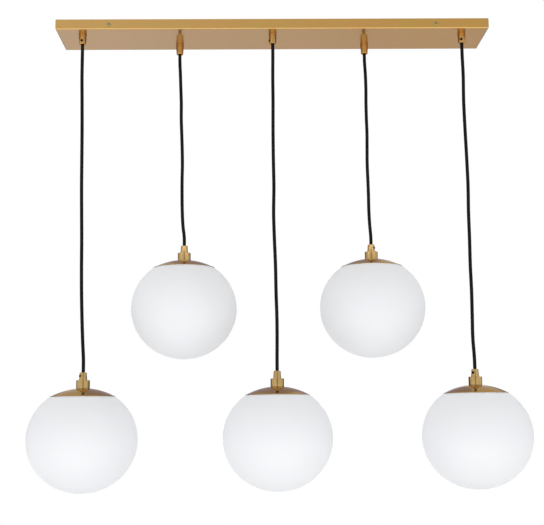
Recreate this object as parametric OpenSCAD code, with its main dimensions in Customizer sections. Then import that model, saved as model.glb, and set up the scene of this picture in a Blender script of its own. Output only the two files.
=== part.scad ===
/* [Canopy tray] */
// Length of the tray along the row of pendants
tray_l = 800; // [780:5:1000]
// Depth of the tray from front to back
tray_d = 110; // [100:1:150]
// Height of the tray from the ceiling to its underside
tray_h = 19; // [18:0.5:30]
// Thickness of the folded brass sheet
tray_t = 1.2; // [0.8:0.1:1.6]
// Outer radius of the bends along the lower edges
tray_bend_r = 2; // [1.8:0.1:4]

/* [Ceiling brackets] */
// Distance from each end of the tray to the middle of a bracket
bracket_inset = 98; // [80:2:140]
// Width of a bracket strip
bracket_w = 20; // [18:0.5:26]
// Thickness of a bracket strip
bracket_t = 1.5; // [1:0.1:2]
// Depth of the tabs folded down at both ends of a bracket
bracket_tab = 14; // [13:0.5:15]
// Width of the slots for the ceiling screws
slot_w = 5; // [4:0.2:6]
// End to end length of the slots
slot_l = 12; // [8:0.5:14]
// Distance between the two slots of a bracket
slot_pitch = 54; // [40:1:70]

/* [Canopy screws] */
// Thread diameter of the canopy screws
canopy_screw_d = 4; // [3:0.5:5]
// Length of the canopy screws under the head
canopy_screw_l = 8; // [7:0.5:12]
// Diameter of the screw heads
screw_head_d = 7.2; // [6.6:0.2:8.4]
// Height of the screw heads
screw_head_h = 2.4; // [1.8:0.1:3]
// Width of one arm of the cross recess
recess_w = 1; // [0.6:0.1:1.2]
// Depth of the cross recess
recess_depth = 1.4; // [0.8:0.1:1.6]
// Height of the screws below the ceiling
canopy_screw_drop = 10; // [8.5:0.1:10.5]

/* [Pendant layout] */
// Distance from each end of the tray to the nearest cord
cord_inset = 46; // [40:1:56]
// Distance of each row from the middle of the tray
row_offset = 28; // [26:1:34]
// Free length of the cords of the front row
long_cord = 608; // [560:1:900]
// Free length of the cords of the rear row
short_cord = 372; // [300:1:400]
// Diameter of the cord
cord_d = 6.2; // [5:0.1:6.4]

/* [Cord grips] */
// Bore of the grips where the cord passes
grip_bore = 7; // [6.8:0.1:7.4]
// Wide end diameter of the upper grips
upper_grip_wide = 14.6; // [13.4:0.1:16]
// Mouth diameter of the upper grips
upper_grip_mouth = 12.8; // [11.4:0.1:13.2]
// Length of the upper grips
upper_grip_l = 19.5; // [18:0.5:26]
// Wide end diameter of the lower grips
lower_grip_wide = 14; // [13:0.1:17]
// Mouth diameter of the lower grips
lower_grip_mouth = 12.4; // [11:0.1:12.8]
// Length of the lower grips
lower_grip_l = 13.5; // [13:0.5:20]
// Chamfer at the mouth of each grip
grip_chamfer = 0.6; // [0.2:0.1:0.8]
// Thread diameter of the grub screws
grub_d = 4.6; // [3.2:0.2:4.8]
// Distance of the upper grub screws from the grip mouth
upper_grub_up = 6; // [5.5:0.5:8]
// Distance of the lower grub screws from the grip mouth
lower_grub_down = 6.2; // [5.6:0.1:6.4]
// Height that a grub screw stands proud of its grip
grub_proud = 0.8; // [0.1:0.1:1]
// Distance across the flats of the socket in a grub screw
grub_socket = 2; // [1.2:0.1:2.4]
// Depth of the socket in a grub screw
grub_socket_depth = 1.4; // [0.8:0.1:2]
// Distance that the free cord reaches into each grip
cord_insert = 1.5; // [1:0.1:2]

/* [Threaded rods] */
// Outer diameter of the hollow threaded rods
rod_d = 10; // [9.4:0.1:10.2]
// Bore of the hollow threaded rods
rod_bore = 7; // [6.4:0.1:7.4]
// Distance from the end of a rod to the grub screw in its grip
rod_to_grub = 1; // [0.5:0.1:1.4]
// Distance across the flats of the lock nuts
nut_af = 14; // [13:0.5:15]
// Height of the lock nuts
nut_h = 4; // [3:0.5:4.5]
// Length of rod that stands out past a lock nut
rod_past_nut = 1.5; // [1:0.1:2]

/* [Fitter cup] */
// Outer diameter of the cup
cup_d = 24; // [22:0.5:30]
// Height of the cup
cup_h = 14.5; // [12:0.5:24]
// Wall of the cup
cup_wall = 1.2; // [0.8:0.1:1.6]
// Chamfer around the top of the cup
cup_chamfer = 0.5; // [0.2:0.1:1]

/* [Dome cap] */
// Radius of the rim of the cap
cap_rim_r = 57; // [55:0.5:60]
// Height of the cap above its rim
cap_rise = 15.2; // [14:0.1:16]
// Thickness of the spun brass sheet
cap_t = 1; // [0.8:0.1:1.2]
// Inner radius of the collar that takes the glass neck
collar_r = 43.6; // [42:0.2:45]
// Wall of the collar
collar_wall = 1.2; // [1:0.1:1.6]
// Thickness of the lip inside the collar that carries the glass
lip_t = 1.2; // [0.8:0.1:1.4]

/* [Glass globe] */
// Half width of the globe
globe_a = 97; // [95:0.5:101]
// Half height of the globe as a full oval
globe_b = 92.5; // [91:0.5:98]
// Thickness of the opal glass
glass_t = 3; // [2.4:0.1:3.6]
// Distance that the three bayonet lugs stand out from the neck
lug_reach = 2; // [1.6:0.1:2.4]
// Thickness of the lugs
lug_t = 2; // [1.4:0.1:2.2]
// Angle that each lug covers
lug_angle = 24; // [16:1:28]
// Angle through which the globe turns from locked to free
turn_angle = 60; // [50:1:65]

/* [Lamp] */
// Diameter of the ceramic lampholder
holder_d = 23; // [20:0.5:26]
// Height of the lampholder below its boss
holder_h = 26; // [20:1:34]
// Diameter of the boss that clamps the cap
boss_d = 16; // [14:0.5:18]
// Height of the boss
boss_h = 5; // [4:0.5:8]
// Distance between the two lamp pins
pin_pitch = 9; // [8:0.5:10]
// Diameter of the lamp pins
pin_d = 2.4; // [2:0.1:2.8]
// Length of the lamp pins
pin_l = 9; // [7:0.5:11]
// Diameter of the lamp
bulb_d = 16; // [14:0.5:19]
// Length of the lamp below the holder
bulb_l = 48; // [40:1:60]
// Diameter of the lamp's base
bulb_base_d = 14.4; // [13:0.2:15]

/* [Wiring] */
// Diameter of the sleeved leads inside the tray
lead_d = 4; // [3:0.2:4.6]
// Diameter of the cores inside the threaded rods
core_d = 2; // [1.4:0.1:2.4]
// Length of the terminal block along the tray depth
block_l = 27; // [25:1:33]
// Width of the terminal block
block_w = 20; // [16:1:26]
// Height of the terminal block
block_h = 13.5; // [11:0.5:14]
// Height of the ports and of the earth blade above the tray floor
port_up = 4.5; // [3.5:0.1:5]
// Depth of the ports
port_depth = 4; // [3:0.5:6]
// Diameter of the screw wells in the top of the block
well_d = 3.6; // [2.6:0.2:4.4]
// Depth of the screw wells
well_depth = 5; // [2:0.5:6]
// Distance of the earth tab from the block
earth_out = 20; // [18:1:40]
// Width of the earth blade
blade_w = 6.3; // [4.8:0.1:6.5]
// Length of the earth blade and of its foot
blade_l = 8; // [6:0.5:9]
// Thickness of the earth tab
blade_t = 0.8; // [0.5:0.1:1]
// Wall of the push-on terminal around the earth blade
terminal_wall = 0.6; // [0.4:0.1:0.8]

/* [Clearances] */
// Gap between pieces that sit loosely side by side
seat_gap = 0.3; // [0.2:0.05:0.35]
// Radial play of a thread or shaft in its hole
fit_play = 0.05; // [0.03:0.01:0.1]
// Radial play of a clearance hole
hole_play = 0.2; // [0.15:0.05:0.4]
// Air between the free cord and its clamped end, so that the cord can swing
cord_gap = 0.9; // [0.85:0.05:0.95]

/* [Hidden] */
$fn = 64;
ids = [0 : 4];
// Straight steps along the section of the globe and of each face of the cap
globe_steps = 30;
cap_steps = 12;
cord_sides = 12;
lead_sides = 8;
// A sliver of extra length that lets a cut pass right through
cut = 1;

// Each cord hangs a little off plumb: sideways sway in mm against percent of its length
sway = [
    [[0, 4], [0, 10], [1, 18], [2, 27], [2.5, 36], [3, 45], [4, 53], [5, 61], [5.5, 69], [6.5, 77], [8, 84],
        [10, 91], [12, 97]],
    [[0, 4], [1, 10], [2, 18], [3, 26], [3, 34], [4, 42], [5, 50], [5.5, 58], [5, 66], [5, 74], [5.5, 82],
        [7, 90], [9.5, 96]],
    [[0, 4], [-0.5, 10], [-0.5, 18], [-1, 27], [-1, 36], [-0.5, 45], [-1.5, 53], [-0.5, 61], [1, 69],
        [1.5, 77], [2.5, 84], [2.5, 91], [2, 97]],
    [[0, 4], [1, 10], [1.5, 18], [1, 26], [1, 34], [1.5, 42], [1, 50], [0.5, 58], [1, 66], [1.5, 74],
        [1.5, 82], [2.5, 90], [4, 96]],
    [[0, 4], [0.5, 10], [-0.5, 18], [0, 27], [1, 36], [1.5, 45], [0.5, 53], [0.5, 61], [0, 69], [0.5, 77],
        [0, 84], [-0.5, 91], [1, 97]]
];
// Direction that each upper grub screw faces, in degrees to the right of the front
upper_grub_turn = [-5, 160, -75, 200, -16];
// Direction that each lower grub screw faces
lower_grub_turn = [-50, 190, 170, 56, -42];

// Heights at the ceiling, with the ceiling itself at zero
tray_floor_z = tray_t - tray_h;
tray_in_l = tray_l - 2 * tray_t;
tray_in_d = tray_d - 2 * tray_t;
bracket_x = tray_l / 2 - bracket_inset;
bracket_d = tray_in_d - 2 * seat_gap;
mouth_z = -tray_h - upper_grip_l;
// The five cords share the length between the first and the last of them
pitch = (tray_l - 2 * cord_inset) / 4;
rod_hole_r = rod_d / 2 + hole_play;
rod_thread_r = rod_d / 2 + fit_play;
screw_hole_r = canopy_screw_d / 2 + hole_play;
screw_thread_r = canopy_screw_d / 2 + fit_play;
upper_rod_foot = mouth_z + upper_grub_up + grub_d / 2 + rod_to_grub;
upper_rod_top = tray_floor_z + nut_h + rod_past_nut;

// The terminal block stands between the third and fourth cord, the earth tab beside it
block_x = pitch / 2;
port_pitch = block_l / 3;
port_z = tray_floor_z + port_up;
earth_x = block_x + block_w / 2 + earth_out;
lead_floor_z = tray_floor_z + lead_d / 2 + hole_play;

// Heights on a pendant, with the mouth of its lower grip at zero
cup_top = -lower_grip_l;
cup_foot = cup_top - cup_h;
cup_in_r = cup_d / 2 - cup_wall;
lower_rod_top = -lower_grub_down - grub_d / 2 - rod_to_grub;
// The cap is part of a ball that touches the inner edge of the cup's foot
cap_ball_r = (cap_rim_r * cap_rim_r + cap_rise * cap_rise) / (2 * cap_rise);
cap_ball_z = cup_foot - sqrt(cap_ball_r * cap_ball_r - cup_in_r * cup_in_r);
cap_rim = cap_ball_z + cap_ball_r - cap_rise;
// The lugs of the glass fill the collar, and its neck fills the cap
lug_r = collar_r - seat_gap;
lug_top = cap_under(lug_r) - seat_gap;
lug_foot = lug_top - lug_t;
neck_r = lug_r - lug_reach;
neck_in_r = neck_r - glass_t;
neck_top = cap_under(neck_r) - seat_gap;
lip_r = neck_r + seat_gap;
lip_top = lug_foot - seat_gap;
collar_foot = lip_top - lip_t;
// The flat shoulder of the glass stays clear of the rim and of the collar
shoulder_z = min(cap_rim, collar_foot) - seat_gap;
globe_z = shoulder_z - globe_b * sqrt(1 - pow(cap_rim_r / globe_a, 2));
// Extra angle of the gaps that the lugs pass through
lug_play = 4;
boss_top = cap_under(boss_d / 2);
boss_foot = boss_top - boss_h;
holder_foot = boss_foot - holder_h;
lower_rod_foot = boss_foot + seat_gap;

// Height of a ball face of the cap at a distance from its axis
function cap_face(ball_r, r) = cap_ball_z + sqrt(ball_r * ball_r - r * r);
function cap_under(r) = cap_face(cap_ball_r - cap_t, r);

// Places of the five pendants: the first, third and fifth hang long in the front row
function is_front(i) = i % 2 == 0;
function hang_x(i) = (i - 2) * pitch;
function hang_y(i) = is_front(i) ? -row_offset : row_offset;
function cord_length(i) = is_front(i) ? long_cord : short_cord;
function head_sway(i) = sway[i][len(sway[i]) - 1][0];
function head_z(i) = mouth_z - cord_length(i);

module at_hang(i) {
    translate([hang_x(i), hang_y(i), 0]) children();
}

module at_upper_mouth(i) {
    translate([hang_x(i), hang_y(i), mouth_z]) children();
}

module at_head(i) {
    translate([hang_x(i) + head_sway(i), hang_y(i), head_z(i)]) children();
}

// Round stock between two heights
module bar(r, low, high) {
    translate([0, 0, low]) cylinder(r = r, h = high - low);
}

module sleeve(outer_r, inner_r, low, high) {
    difference() {
        bar(outer_r, low, high);
        bar(inner_r, low - cut, high + cut);
    }
}

// A tube along a list of points: rings square to the path, joined side by side
function unit(v) = v / norm(v);
function heading(p, k) = unit(p[min(k + 1, len(p) - 1)] - p[max(k - 1, 0)]);
function ring(p, k, r, sides) =
    let (t = heading(p, k), u = unit(cross([0, 1, 0], t)), v = cross(t, u))
    [for (s = [0 : sides - 1]) p[k] + r * (cos(360 * s / sides) * u + sin(360 * s / sides) * v)];

module tube(p, d, sides) {
    rings = len(p);
    points = [for (k = [0 : rings - 1]) each ring(p, k, d / 2, sides)];
    walls = [for (k = [0 : rings - 2], s = [0 : sides - 1])
        let (a = k * sides + s, b = k * sides + (s + 1) % sides)
        each [[a, a + sides, b + sides], [a, b + sides, b]]];
    first = [for (s = [0 : sides - 1]) s];
    last = [for (s = [sides - 1 : -1 : 0]) (rings - 1) * sides + s];
    polyhedron(points = points, faces = concat([first], walls, [last]));
}

// Outline of the tray seen from one end: flat top at zero, two round lower corners
module tray_outline(w, h, r) {
    translate([-w / 2, r - h]) square([w, h - r]);
    translate([r - w / 2, -h]) square([w - 2 * r, h]);
    for (side = [-1, 1]) translate([side * (w / 2 - r), r - h]) circle(r = r);
}

// A block with round lower edges that meet in mitred corners
module tray_block(l, d, h, r) {
    intersection() {
        rotate([90, 0, 0]) linear_extrude(height = d, center = true) tray_outline(l, h, r);
        rotate([90, 0, 90]) linear_extrude(height = l, center = true) tray_outline(d, h, r);
    }
}

// The four canopy screws, each with its seat on the outer face of a lip
module at_canopy_screws() {
    for (x = [-bracket_x, bracket_x], side = [-1, 1])
        translate([x, side * tray_d / 2, -canopy_screw_drop]) rotate([-90 * side, 0, 0]) children();
}

module canopy_tray() {
    color("#bb985c") difference() {
        tray_block(tray_l, tray_d, tray_h, tray_bend_r);
        translate([0, 0, cut])
            tray_block(tray_in_l, tray_in_d, tray_h - tray_t + cut, tray_bend_r - tray_t);
        for (i = ids) at_hang(i) bar(rod_hole_r, -tray_h - cut, tray_floor_z + cut);
        at_canopy_screws() bar(screw_hole_r, -tray_t - cut, cut);
    }
}

module slot_cut() {
    straight = slot_l - slot_w;
    depth = bracket_t + 2 * cut;
    translate([-straight / 2, -slot_w / 2, -bracket_t - cut]) cube([straight, slot_w, depth]);
    for (side = [-1, 1]) translate([side * straight / 2, 0, 0]) bar(slot_w / 2, -bracket_t - cut, cut);
}

module ceiling_brackets() {
    tab_back = -tray_t - seat_gap - bracket_t;
    color("#c3c6c6") difference() {
        for (x = [-bracket_x, bracket_x]) translate([x - bracket_w / 2, 0, 0]) {
            translate([0, -bracket_d / 2, -bracket_t]) cube([bracket_w, bracket_d, bracket_t]);
            for (side = [0, 1]) mirror([0, side, 0])
                translate([0, -bracket_d / 2, -bracket_tab]) cube([bracket_w, bracket_t, bracket_tab]);
        }
        for (x = [-bracket_x, bracket_x], y = [-slot_pitch / 2, slot_pitch / 2])
            translate([x, y, 0]) slot_cut();
        at_canopy_screws() bar(screw_thread_r, tab_back - cut, -tray_t);
    }
}

// A pan head screw with its seat at zero and its head upwards
module pan_screw(length) {
    skirt = screw_head_h * 0.6;
    crown_r = screw_head_d * 0.36;
    arm = screw_head_d * 0.6;
    difference() {
        union() {
            bar(canopy_screw_d / 2, -length, skirt);
            bar(screw_head_d / 2, 0, skirt);
            translate([0, 0, skirt])
                cylinder(r1 = screw_head_d / 2, r2 = crown_r, h = screw_head_h - skirt);
        }
        for (turn = [45, 135]) rotate([0, 0, turn])
            translate([-arm / 2, -recess_w / 2, screw_head_h - recess_depth])
                cube([arm, recess_w, recess_depth + cut]);
    }
}

module canopy_screws() {
    color("#a9aa9a") at_canopy_screws() pan_screw(canopy_screw_l);
}

// A tapered grip with its mouth at zero and its wide end at -length, threaded up to just past its rod
module grip(length, wide, mouth, grub_down) {
    neck = length - grip_chamfer;
    thread_end = seat_gap - grub_down - grub_d / 2 - rod_to_grub;
    difference() {
        union() {
            translate([0, 0, -length]) cylinder(r1 = wide / 2, r2 = mouth / 2, h = neck);
            translate([0, 0, -grip_chamfer])
                cylinder(r1 = mouth / 2, r2 = mouth / 2 - grip_chamfer, h = grip_chamfer);
        }
        bar(grip_bore / 2, -length - cut, cut);
        bar(rod_thread_r, -length - cut, thread_end);
    }
}

// Radius of a grip at a distance from its mouth
function grip_r(length, wide, mouth, down) =
    (mouth + (wide - mouth) * (down - grip_chamfer) / (length - grip_chamfer)) / 2;

// Round stock that runs out from the axis towards a direction measured from the front
module radial_bar(r, from, to, height, turn) {
    translate([0, 0, height]) rotate([0, 0, turn - 90]) rotate([0, 90, 0]) bar(r, from, to);
}

// A grub screw with a hexagon socket, from the cord to just past the face of its grip
module grub_screw(out, height, turn) {
    difference() {
        radial_bar(grub_d / 2, cord_d / 2 + fit_play, out, height, turn);
        radial_bar(grub_socket / 2 / cos(30), out - grub_socket_depth, out + cut, height, turn, $fn = 6);
    }
}

module upper_grips() {
    color("#b98c50") for (i = ids) at_upper_mouth(i) difference() {
        mirror([0, 0, 1]) grip(upper_grip_l, upper_grip_wide, upper_grip_mouth, upper_grub_up);
        radial_bar(grub_d / 2 + fit_play, 0, upper_grip_wide, upper_grub_up, upper_grub_turn[i]);
    }
}

module upper_set_screws() {
    out = grip_r(upper_grip_l, upper_grip_wide, upper_grip_mouth, upper_grub_up) + grub_proud;
    color("#17171a") for (i = ids) at_upper_mouth(i)
        grub_screw(out, upper_grub_up, upper_grub_turn[i]);
}

module upper_nipples() {
    color("#c9b27c") for (i = ids) at_hang(i)
        sleeve(rod_d / 2, rod_bore / 2, upper_rod_foot, upper_rod_top);
}

module upper_lock_nuts() {
    color("#c3c6c6") for (i = ids) at_hang(i) difference() {
        translate([0, 0, tray_floor_z]) cylinder(r = nut_af / 2 / cos(30), h = nut_h, $fn = 6);
        bar(rod_thread_r, tray_floor_z - cut, tray_floor_z + nut_h + cut);
    }
}

// Side of the block that a lead comes in from: 1 from the left, -1 from the right
function lead_side(i) = hang_x(i) < block_x ? 1 : -1;
function lead_lane(i) = [0, port_pitch, -port_pitch, port_pitch, -port_pitch][i];
function port_x(side, depth) = block_x - side * (block_w / 2 - depth);

// A lead rises from its rod, bends over, drops to the tray floor and runs in its lane to the block
function lead_path(i) =
    let (s = lead_side(i), from = [hang_x(i), hang_y(i), 0], lane = lead_lane(i),
        run = s * 60, d = unit([run, lane - hang_y(i), 0]), top = upper_rod_top + 6)
    [
        from + [0, 0, upper_rod_top + 0.5],
        from + [0, 0, upper_rod_top + 2.5],
        from + 1.2 * d + [0, 0, upper_rod_top + 4.7],
        from + 4 * d + [0, 0, top],
        from + 9 * d + [0, 0, top - 0.6],
        from + 16 * d + [0, 0, (top + lead_floor_z) / 2],
        from + 23 * d + [0, 0, lead_floor_z + 0.8],
        from + 30 * d + [0, 0, lead_floor_z],
        [hang_x(i) + run, lane, lead_floor_z],
        [port_x(s, -6), lane, port_z],
        [port_x(s, port_depth), lane, port_z]
    ];

// A block of a given length, centred across, that runs from one x to another
module flat_bar(from, to, w, h) {
    translate([from, -w / 2, -h / 2]) cube([to - from, w, h]);
}

// The earth lead runs straight from its port to a push-on terminal around the blade
module earth_lead() {
    mouth = earth_x - seat_gap;
    back = earth_x - blade_l - terminal_wall - seat_gap;
    slot_play = fit_play * 2;
    translate([0, 0, port_z]) difference() {
        union() {
            rotate([0, 90, 0]) bar(core_d / 2, port_x(-1, port_depth), back + cut / 2);
            flat_bar(back, mouth, blade_w + 2 * terminal_wall, blade_t + 2 * terminal_wall);
        }
        flat_bar(back + terminal_wall, mouth + cut, blade_w + slot_play, blade_t + slot_play);
    }
}

module canopy_leads() {
    color("#b8432f") for (i = ids) {
        at_hang(i) bar(cord_d / 2, mouth_z + cord_insert + cord_gap, upper_rod_top + 1);
        tube(lead_path(i), lead_d, lead_sides);
    }
    color("#6f9d3a") earth_lead();
}

module terminal_block() {
    ports = [-port_pitch, 0, port_pitch];
    color("#e9e6dc") difference() {
        translate([block_x - block_w / 2, -block_l / 2, tray_floor_z]) cube([block_w, block_l, block_h]);
        for (y = ports, side = [-1, 1]) translate([port_x(side, 0), y, port_z])
            rotate([0, 90 * side, 0]) bar(lead_d / 2 + hole_play, -cut, port_depth);
        for (y = ports, x = [-block_w / 4, block_w / 4])
            translate([block_x + x, y, 0]) bar(well_d / 2, tray_floor_z + block_h - well_depth, cut);
    }
}

// A tab welded to the tray floor, with its blade towards the block
module earth_tab() {
    color("#c3c6c6") translate([earth_x, 0, tray_floor_z]) {
        translate([0, 0, blade_t / 2]) flat_bar(0, blade_l, blade_w, blade_t);
        translate([0, 0, (port_up + blade_t / 2) / 2]) flat_bar(0, blade_t, blade_w, port_up + blade_t / 2);
        translate([0, 0, port_up]) flat_bar(-blade_l, blade_t, blade_w, blade_t);
    }
}

// The free length of cord, from inside the upper grip to inside the lower grip
function cord_path(i) =
    let (l = cord_length(i), top = hang_x(i), y = hang_y(i), route = sway[i])
    concat(
        [[top, y, mouth_z + cord_insert]],
        [for (p = route) [top + p[0], y, mouth_z - l * p[1] / 100]],
        [[top + head_sway(i), y, mouth_z - l - cord_insert]]
    );

module cord(i) {
    color("#141416") tube(cord_path(i), cord_d, cord_sides);
}

module lower_grip(i) {
    color("#c39a5a") at_head(i) difference() {
        grip(lower_grip_l, lower_grip_wide, lower_grip_mouth, lower_grub_down);
        radial_bar(grub_d / 2 + fit_play, 0, lower_grip_wide, -lower_grub_down, lower_grub_turn[i]);
    }
}

module lower_set_screw(i) {
    out = grip_r(lower_grip_l, lower_grip_wide, lower_grip_mouth, lower_grub_down) + grub_proud;
    color("#17171a") at_head(i) grub_screw(out, -lower_grub_down, lower_grub_turn[i]);
}

module fitter_cup(i) {
    color("#bea069") at_head(i) difference() {
        union() {
            bar(cup_d / 2, cup_foot, cup_top - cup_chamfer);
            translate([0, 0, cup_top - cup_chamfer])
                cylinder(r1 = cup_d / 2, r2 = cup_d / 2 - cup_chamfer, h = cup_chamfer);
        }
        bar(cup_in_r, cup_foot - cut, cup_top - cup_wall);
        bar(rod_hole_r, cup_foot, cup_top + cut);
    }
}

// A pie slice of a ring, between two heights
module ring_slice(outer_r, inner_r, low, high, angle, middle) {
    rotate([0, 0, middle - angle / 2]) rotate_extrude(angle = angle)
        translate([inner_r, low]) square([outer_r - inner_r, high - low]);
}

// Points along a face of the cap, from one distance from the axis to another
function cap_arc(ball_r, from, to) =
    [for (k = [0 : cap_steps]) let (r = from + (to - from) * k / cap_steps)
        [r, cap_face(ball_r, r)]];

// The spun cap in section: outer face, rim, inner face, collar with its lip, inner face again
module dome_cap(i) {
    inner_ball_r = cap_ball_r - cap_t;
    inner_rim_r = sqrt(pow(inner_ball_r, 2) - pow(cap_rim - cap_ball_z, 2));
    color("#a6804a") at_head(i) difference() {
        rotate_extrude($fn = 96) polygon(concat(
            cap_arc(cap_ball_r, rod_hole_r, cap_rim_r),
            cap_arc(inner_ball_r, inner_rim_r, collar_r + collar_wall),
            [[collar_r + collar_wall, collar_foot], [lip_r, collar_foot], [lip_r, lip_top]],
            [[collar_r, lip_top]],
            cap_arc(inner_ball_r, collar_r, rod_hole_r)
        ));
        for (k = [0 : 2])
            ring_slice(collar_r + hole_play, lip_r - cut, collar_foot - cut, lip_top + cut,
                lug_angle + lug_play, 120 * k + turn_angle);
    }
}

module holder_nipple(i) {
    color("#c9b27c") at_head(i) sleeve(rod_d / 2, rod_bore / 2, lower_rod_foot, lower_rod_top);
}

// The clamped end of the cord and the two cores that go on into the lampholder
module cord_end(i) {
    core_x = cord_d / 4;
    color("#141416") at_head(i) {
        bar(cord_d / 2, cup_top, -cord_insert - cord_gap);
        for (side = [-1, 1]) translate([side * core_x, 0, 0]) bar(core_d / 2, boss_foot, cup_top + cut);
    }
}

module at_pins() {
    for (side = [-1, 1]) translate([side * pin_pitch / 2, 0, 0]) children();
}

module lampholder(i) {
    color("#efece4") at_head(i) difference() {
        union() {
            bar(boss_d / 2, boss_foot, boss_top);
            bar(holder_d / 2, holder_foot, boss_foot);
        }
        bar(rod_thread_r, boss_foot, boss_top + cut);
        at_pins() bar(pin_d / 2 + fit_play * 2, holder_foot - cut, holder_foot + pin_l + seat_gap);
    }
}

module bulb(i) {
    base_h = bulb_l / 4;
    top = holder_foot - seat_gap;
    tip_z = top - bulb_l + bulb_d / 2;
    color("#f4f1e6") at_head(i) {
        at_pins() bar(pin_d / 2, top - cut, holder_foot + pin_l - seat_gap);
        bar(bulb_base_d / 2, top - base_h, top);
        bar(bulb_d / 2, tip_z, top - base_h / 2);
        translate([0, 0, tip_z]) sphere(r = bulb_d / 2);
    }
}

// Points of an oval from its lower pole up to the height where it is cut off
function oval(a, b, high) =
    let (end = asin(high / b), step = (end + 90) / globe_steps)
    [for (k = [0 : globe_steps]) let (t = k * step - 90) [max(0, a * cos(t)), b * sin(t)]];
function reversed(p) = [for (k = [len(p) - 1 : -1 : 0]) p[k]];

module glass_globe(i) {
    shoulder = shoulder_z - globe_z;
    color("#eef0ef") at_head(i) {
        translate([0, 0, globe_z]) rotate_extrude($fn = 96) polygon(concat(
            oval(globe_a, globe_b, shoulder),
            [[neck_r, shoulder], [neck_r, neck_top - globe_z], [neck_in_r, neck_top - globe_z]],
            [[neck_in_r, shoulder - glass_t]],
            reversed(oval(globe_a - glass_t, globe_b - glass_t, shoulder - glass_t))
        ));
        for (k = [0 : 2]) ring_slice(lug_r, neck_r - cut, lug_foot, lug_top, lug_angle, 120 * k);
    }
}

ceiling_nodes = ["canopy_tray", "ceiling_brackets", "canopy_screws", "upper_grips", "upper_set_screws",
    "upper_nipples", "upper_lock_nuts", "canopy_leads", "terminal_block", "earth_tab"];
pendant_nodes = ["cord", "lower_grip", "lower_set_screw", "fitter_cup", "dome_cap", "holder_nipple",
    "cord_end", "lampholder", "bulb", "glass_globe"];
function numbered(name, i) = str(name, "_", i + 1);

canopy_tray();
ceiling_brackets();
canopy_screws();
upper_grips();
upper_set_screws();
upper_nipples();
upper_lock_nuts();
canopy_leads();
terminal_block();
earth_tab();
for (i = ids) {
    cord(i);
    lower_grip(i);
    lower_set_screw(i);
    fitter_cup(i);
    dome_cap(i);
    holder_nipple(i);
    cord_end(i);
    lampholder(i);
    bulb(i);
    glass_globe(i);
}
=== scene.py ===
from math import cos, hypot, pi, radians, sin, sqrt, tan, tau
import bmesh
import bpy
from mathutils import Euler, Matrix, Vector


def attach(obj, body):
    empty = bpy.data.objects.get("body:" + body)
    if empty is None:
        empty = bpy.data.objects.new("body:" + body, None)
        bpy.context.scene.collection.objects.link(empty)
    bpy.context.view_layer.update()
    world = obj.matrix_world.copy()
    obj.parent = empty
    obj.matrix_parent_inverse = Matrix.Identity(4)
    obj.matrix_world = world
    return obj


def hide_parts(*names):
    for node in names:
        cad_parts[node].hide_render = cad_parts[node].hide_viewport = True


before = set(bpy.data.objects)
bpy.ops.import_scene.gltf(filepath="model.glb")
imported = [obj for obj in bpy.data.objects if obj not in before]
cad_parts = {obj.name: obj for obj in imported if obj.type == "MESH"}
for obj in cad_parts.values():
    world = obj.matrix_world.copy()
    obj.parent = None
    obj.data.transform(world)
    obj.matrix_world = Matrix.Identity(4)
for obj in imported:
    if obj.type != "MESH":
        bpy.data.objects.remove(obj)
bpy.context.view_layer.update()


def linked(name, data):
    """A new object in the scene around a mesh, a camera or a lamp."""
    made = bpy.data.objects.new(name, data)
    bpy.context.scene.collection.objects.link(made)
    return made


# The camera stands nearly two metres away, as high as the middle of the lower globes, and looks up a little,
# so that the underside of the ceiling tray shows. Its lens and place were solved from the photograph.
camera_data = bpy.data.cameras.new("photo_camera")
camera_data.sensor_fit = "HORIZONTAL"
camera_data.sensor_width = 36
camera_data.lens = 69.6
camera = linked("photo_camera", camera_data)
bpy.context.scene.camera = camera
camera_place = Vector((-0.0378, -1.9065, -0.7408))
yaw, pitch, roll = (radians(a) for a in (0.991, 8.758, -0.557))
forward = Vector((sin(yaw) * cos(pitch), cos(yaw) * cos(pitch), sin(pitch)))
level = Vector((cos(yaw), -sin(yaw), 0))
upright = level.cross(forward)
right = cos(roll) * level + sin(roll) * upright
up = cos(roll) * upright - sin(roll) * level
turned_axes = Matrix((right, up, -forward)).transposed().to_4x4()
camera.matrix_world = Matrix.Translation(camera_place) @ turned_axes

# Five round black cords, 6.2 mm thick with a smooth plastic sheath, hang free between the upper and the
# lower grips: 608 mm in the front row, 372 mm in the rear. Each one sways a few millimetres off plumb, by the
# distances in SWAY at the shares of its drop, in percent, in SHARES.
MM = 0.001
ROW_OFFSET, PITCH, GRIP_MOUTH_Z = 28, 177, -38.5
CORD_D, CORD_INSERT, CORD_STEP, LONG_CORD, SHORT_CORD = 6.2, 1.5, 8, 608, 372
HANG_X = [(i - 2) * PITCH for i in range(5)]
HANG_Y = [ROW_OFFSET if i % 2 else -ROW_OFFSET for i in range(5)]
DROPS = [SHORT_CORD if i % 2 else LONG_CORD for i in range(5)]
SHARES = {LONG_CORD: (4, 10, 18, 27, 36, 45, 53, 61, 69, 77, 84, 91, 97),
    SHORT_CORD: (4, 10, 18, 26, 34, 42, 50, 58, 66, 74, 82, 90, 96)}
SWAY = [
    (0, 0, 1, 2, 2.5, 3, 4, 5, 5.5, 6.5, 8, 10, 12),
    (0, 1, 2, 3, 3, 4, 5, 5.5, 5, 5, 5.5, 7, 9.5),
    (0, -0.5, -0.5, -1, -1, -0.5, -1.5, -0.5, 1, 1.5, 2.5, 2.5, 2),
    (0, 1, 1.5, 1, 1, 1.5, 1, 0.5, 1, 1.5, 1.5, 2.5, 4),
    (0, 0.5, -0.5, 0, 1, 1.5, 0.5, 0.5, 0, 0.5, 0, -0.5, 1),
]


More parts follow.
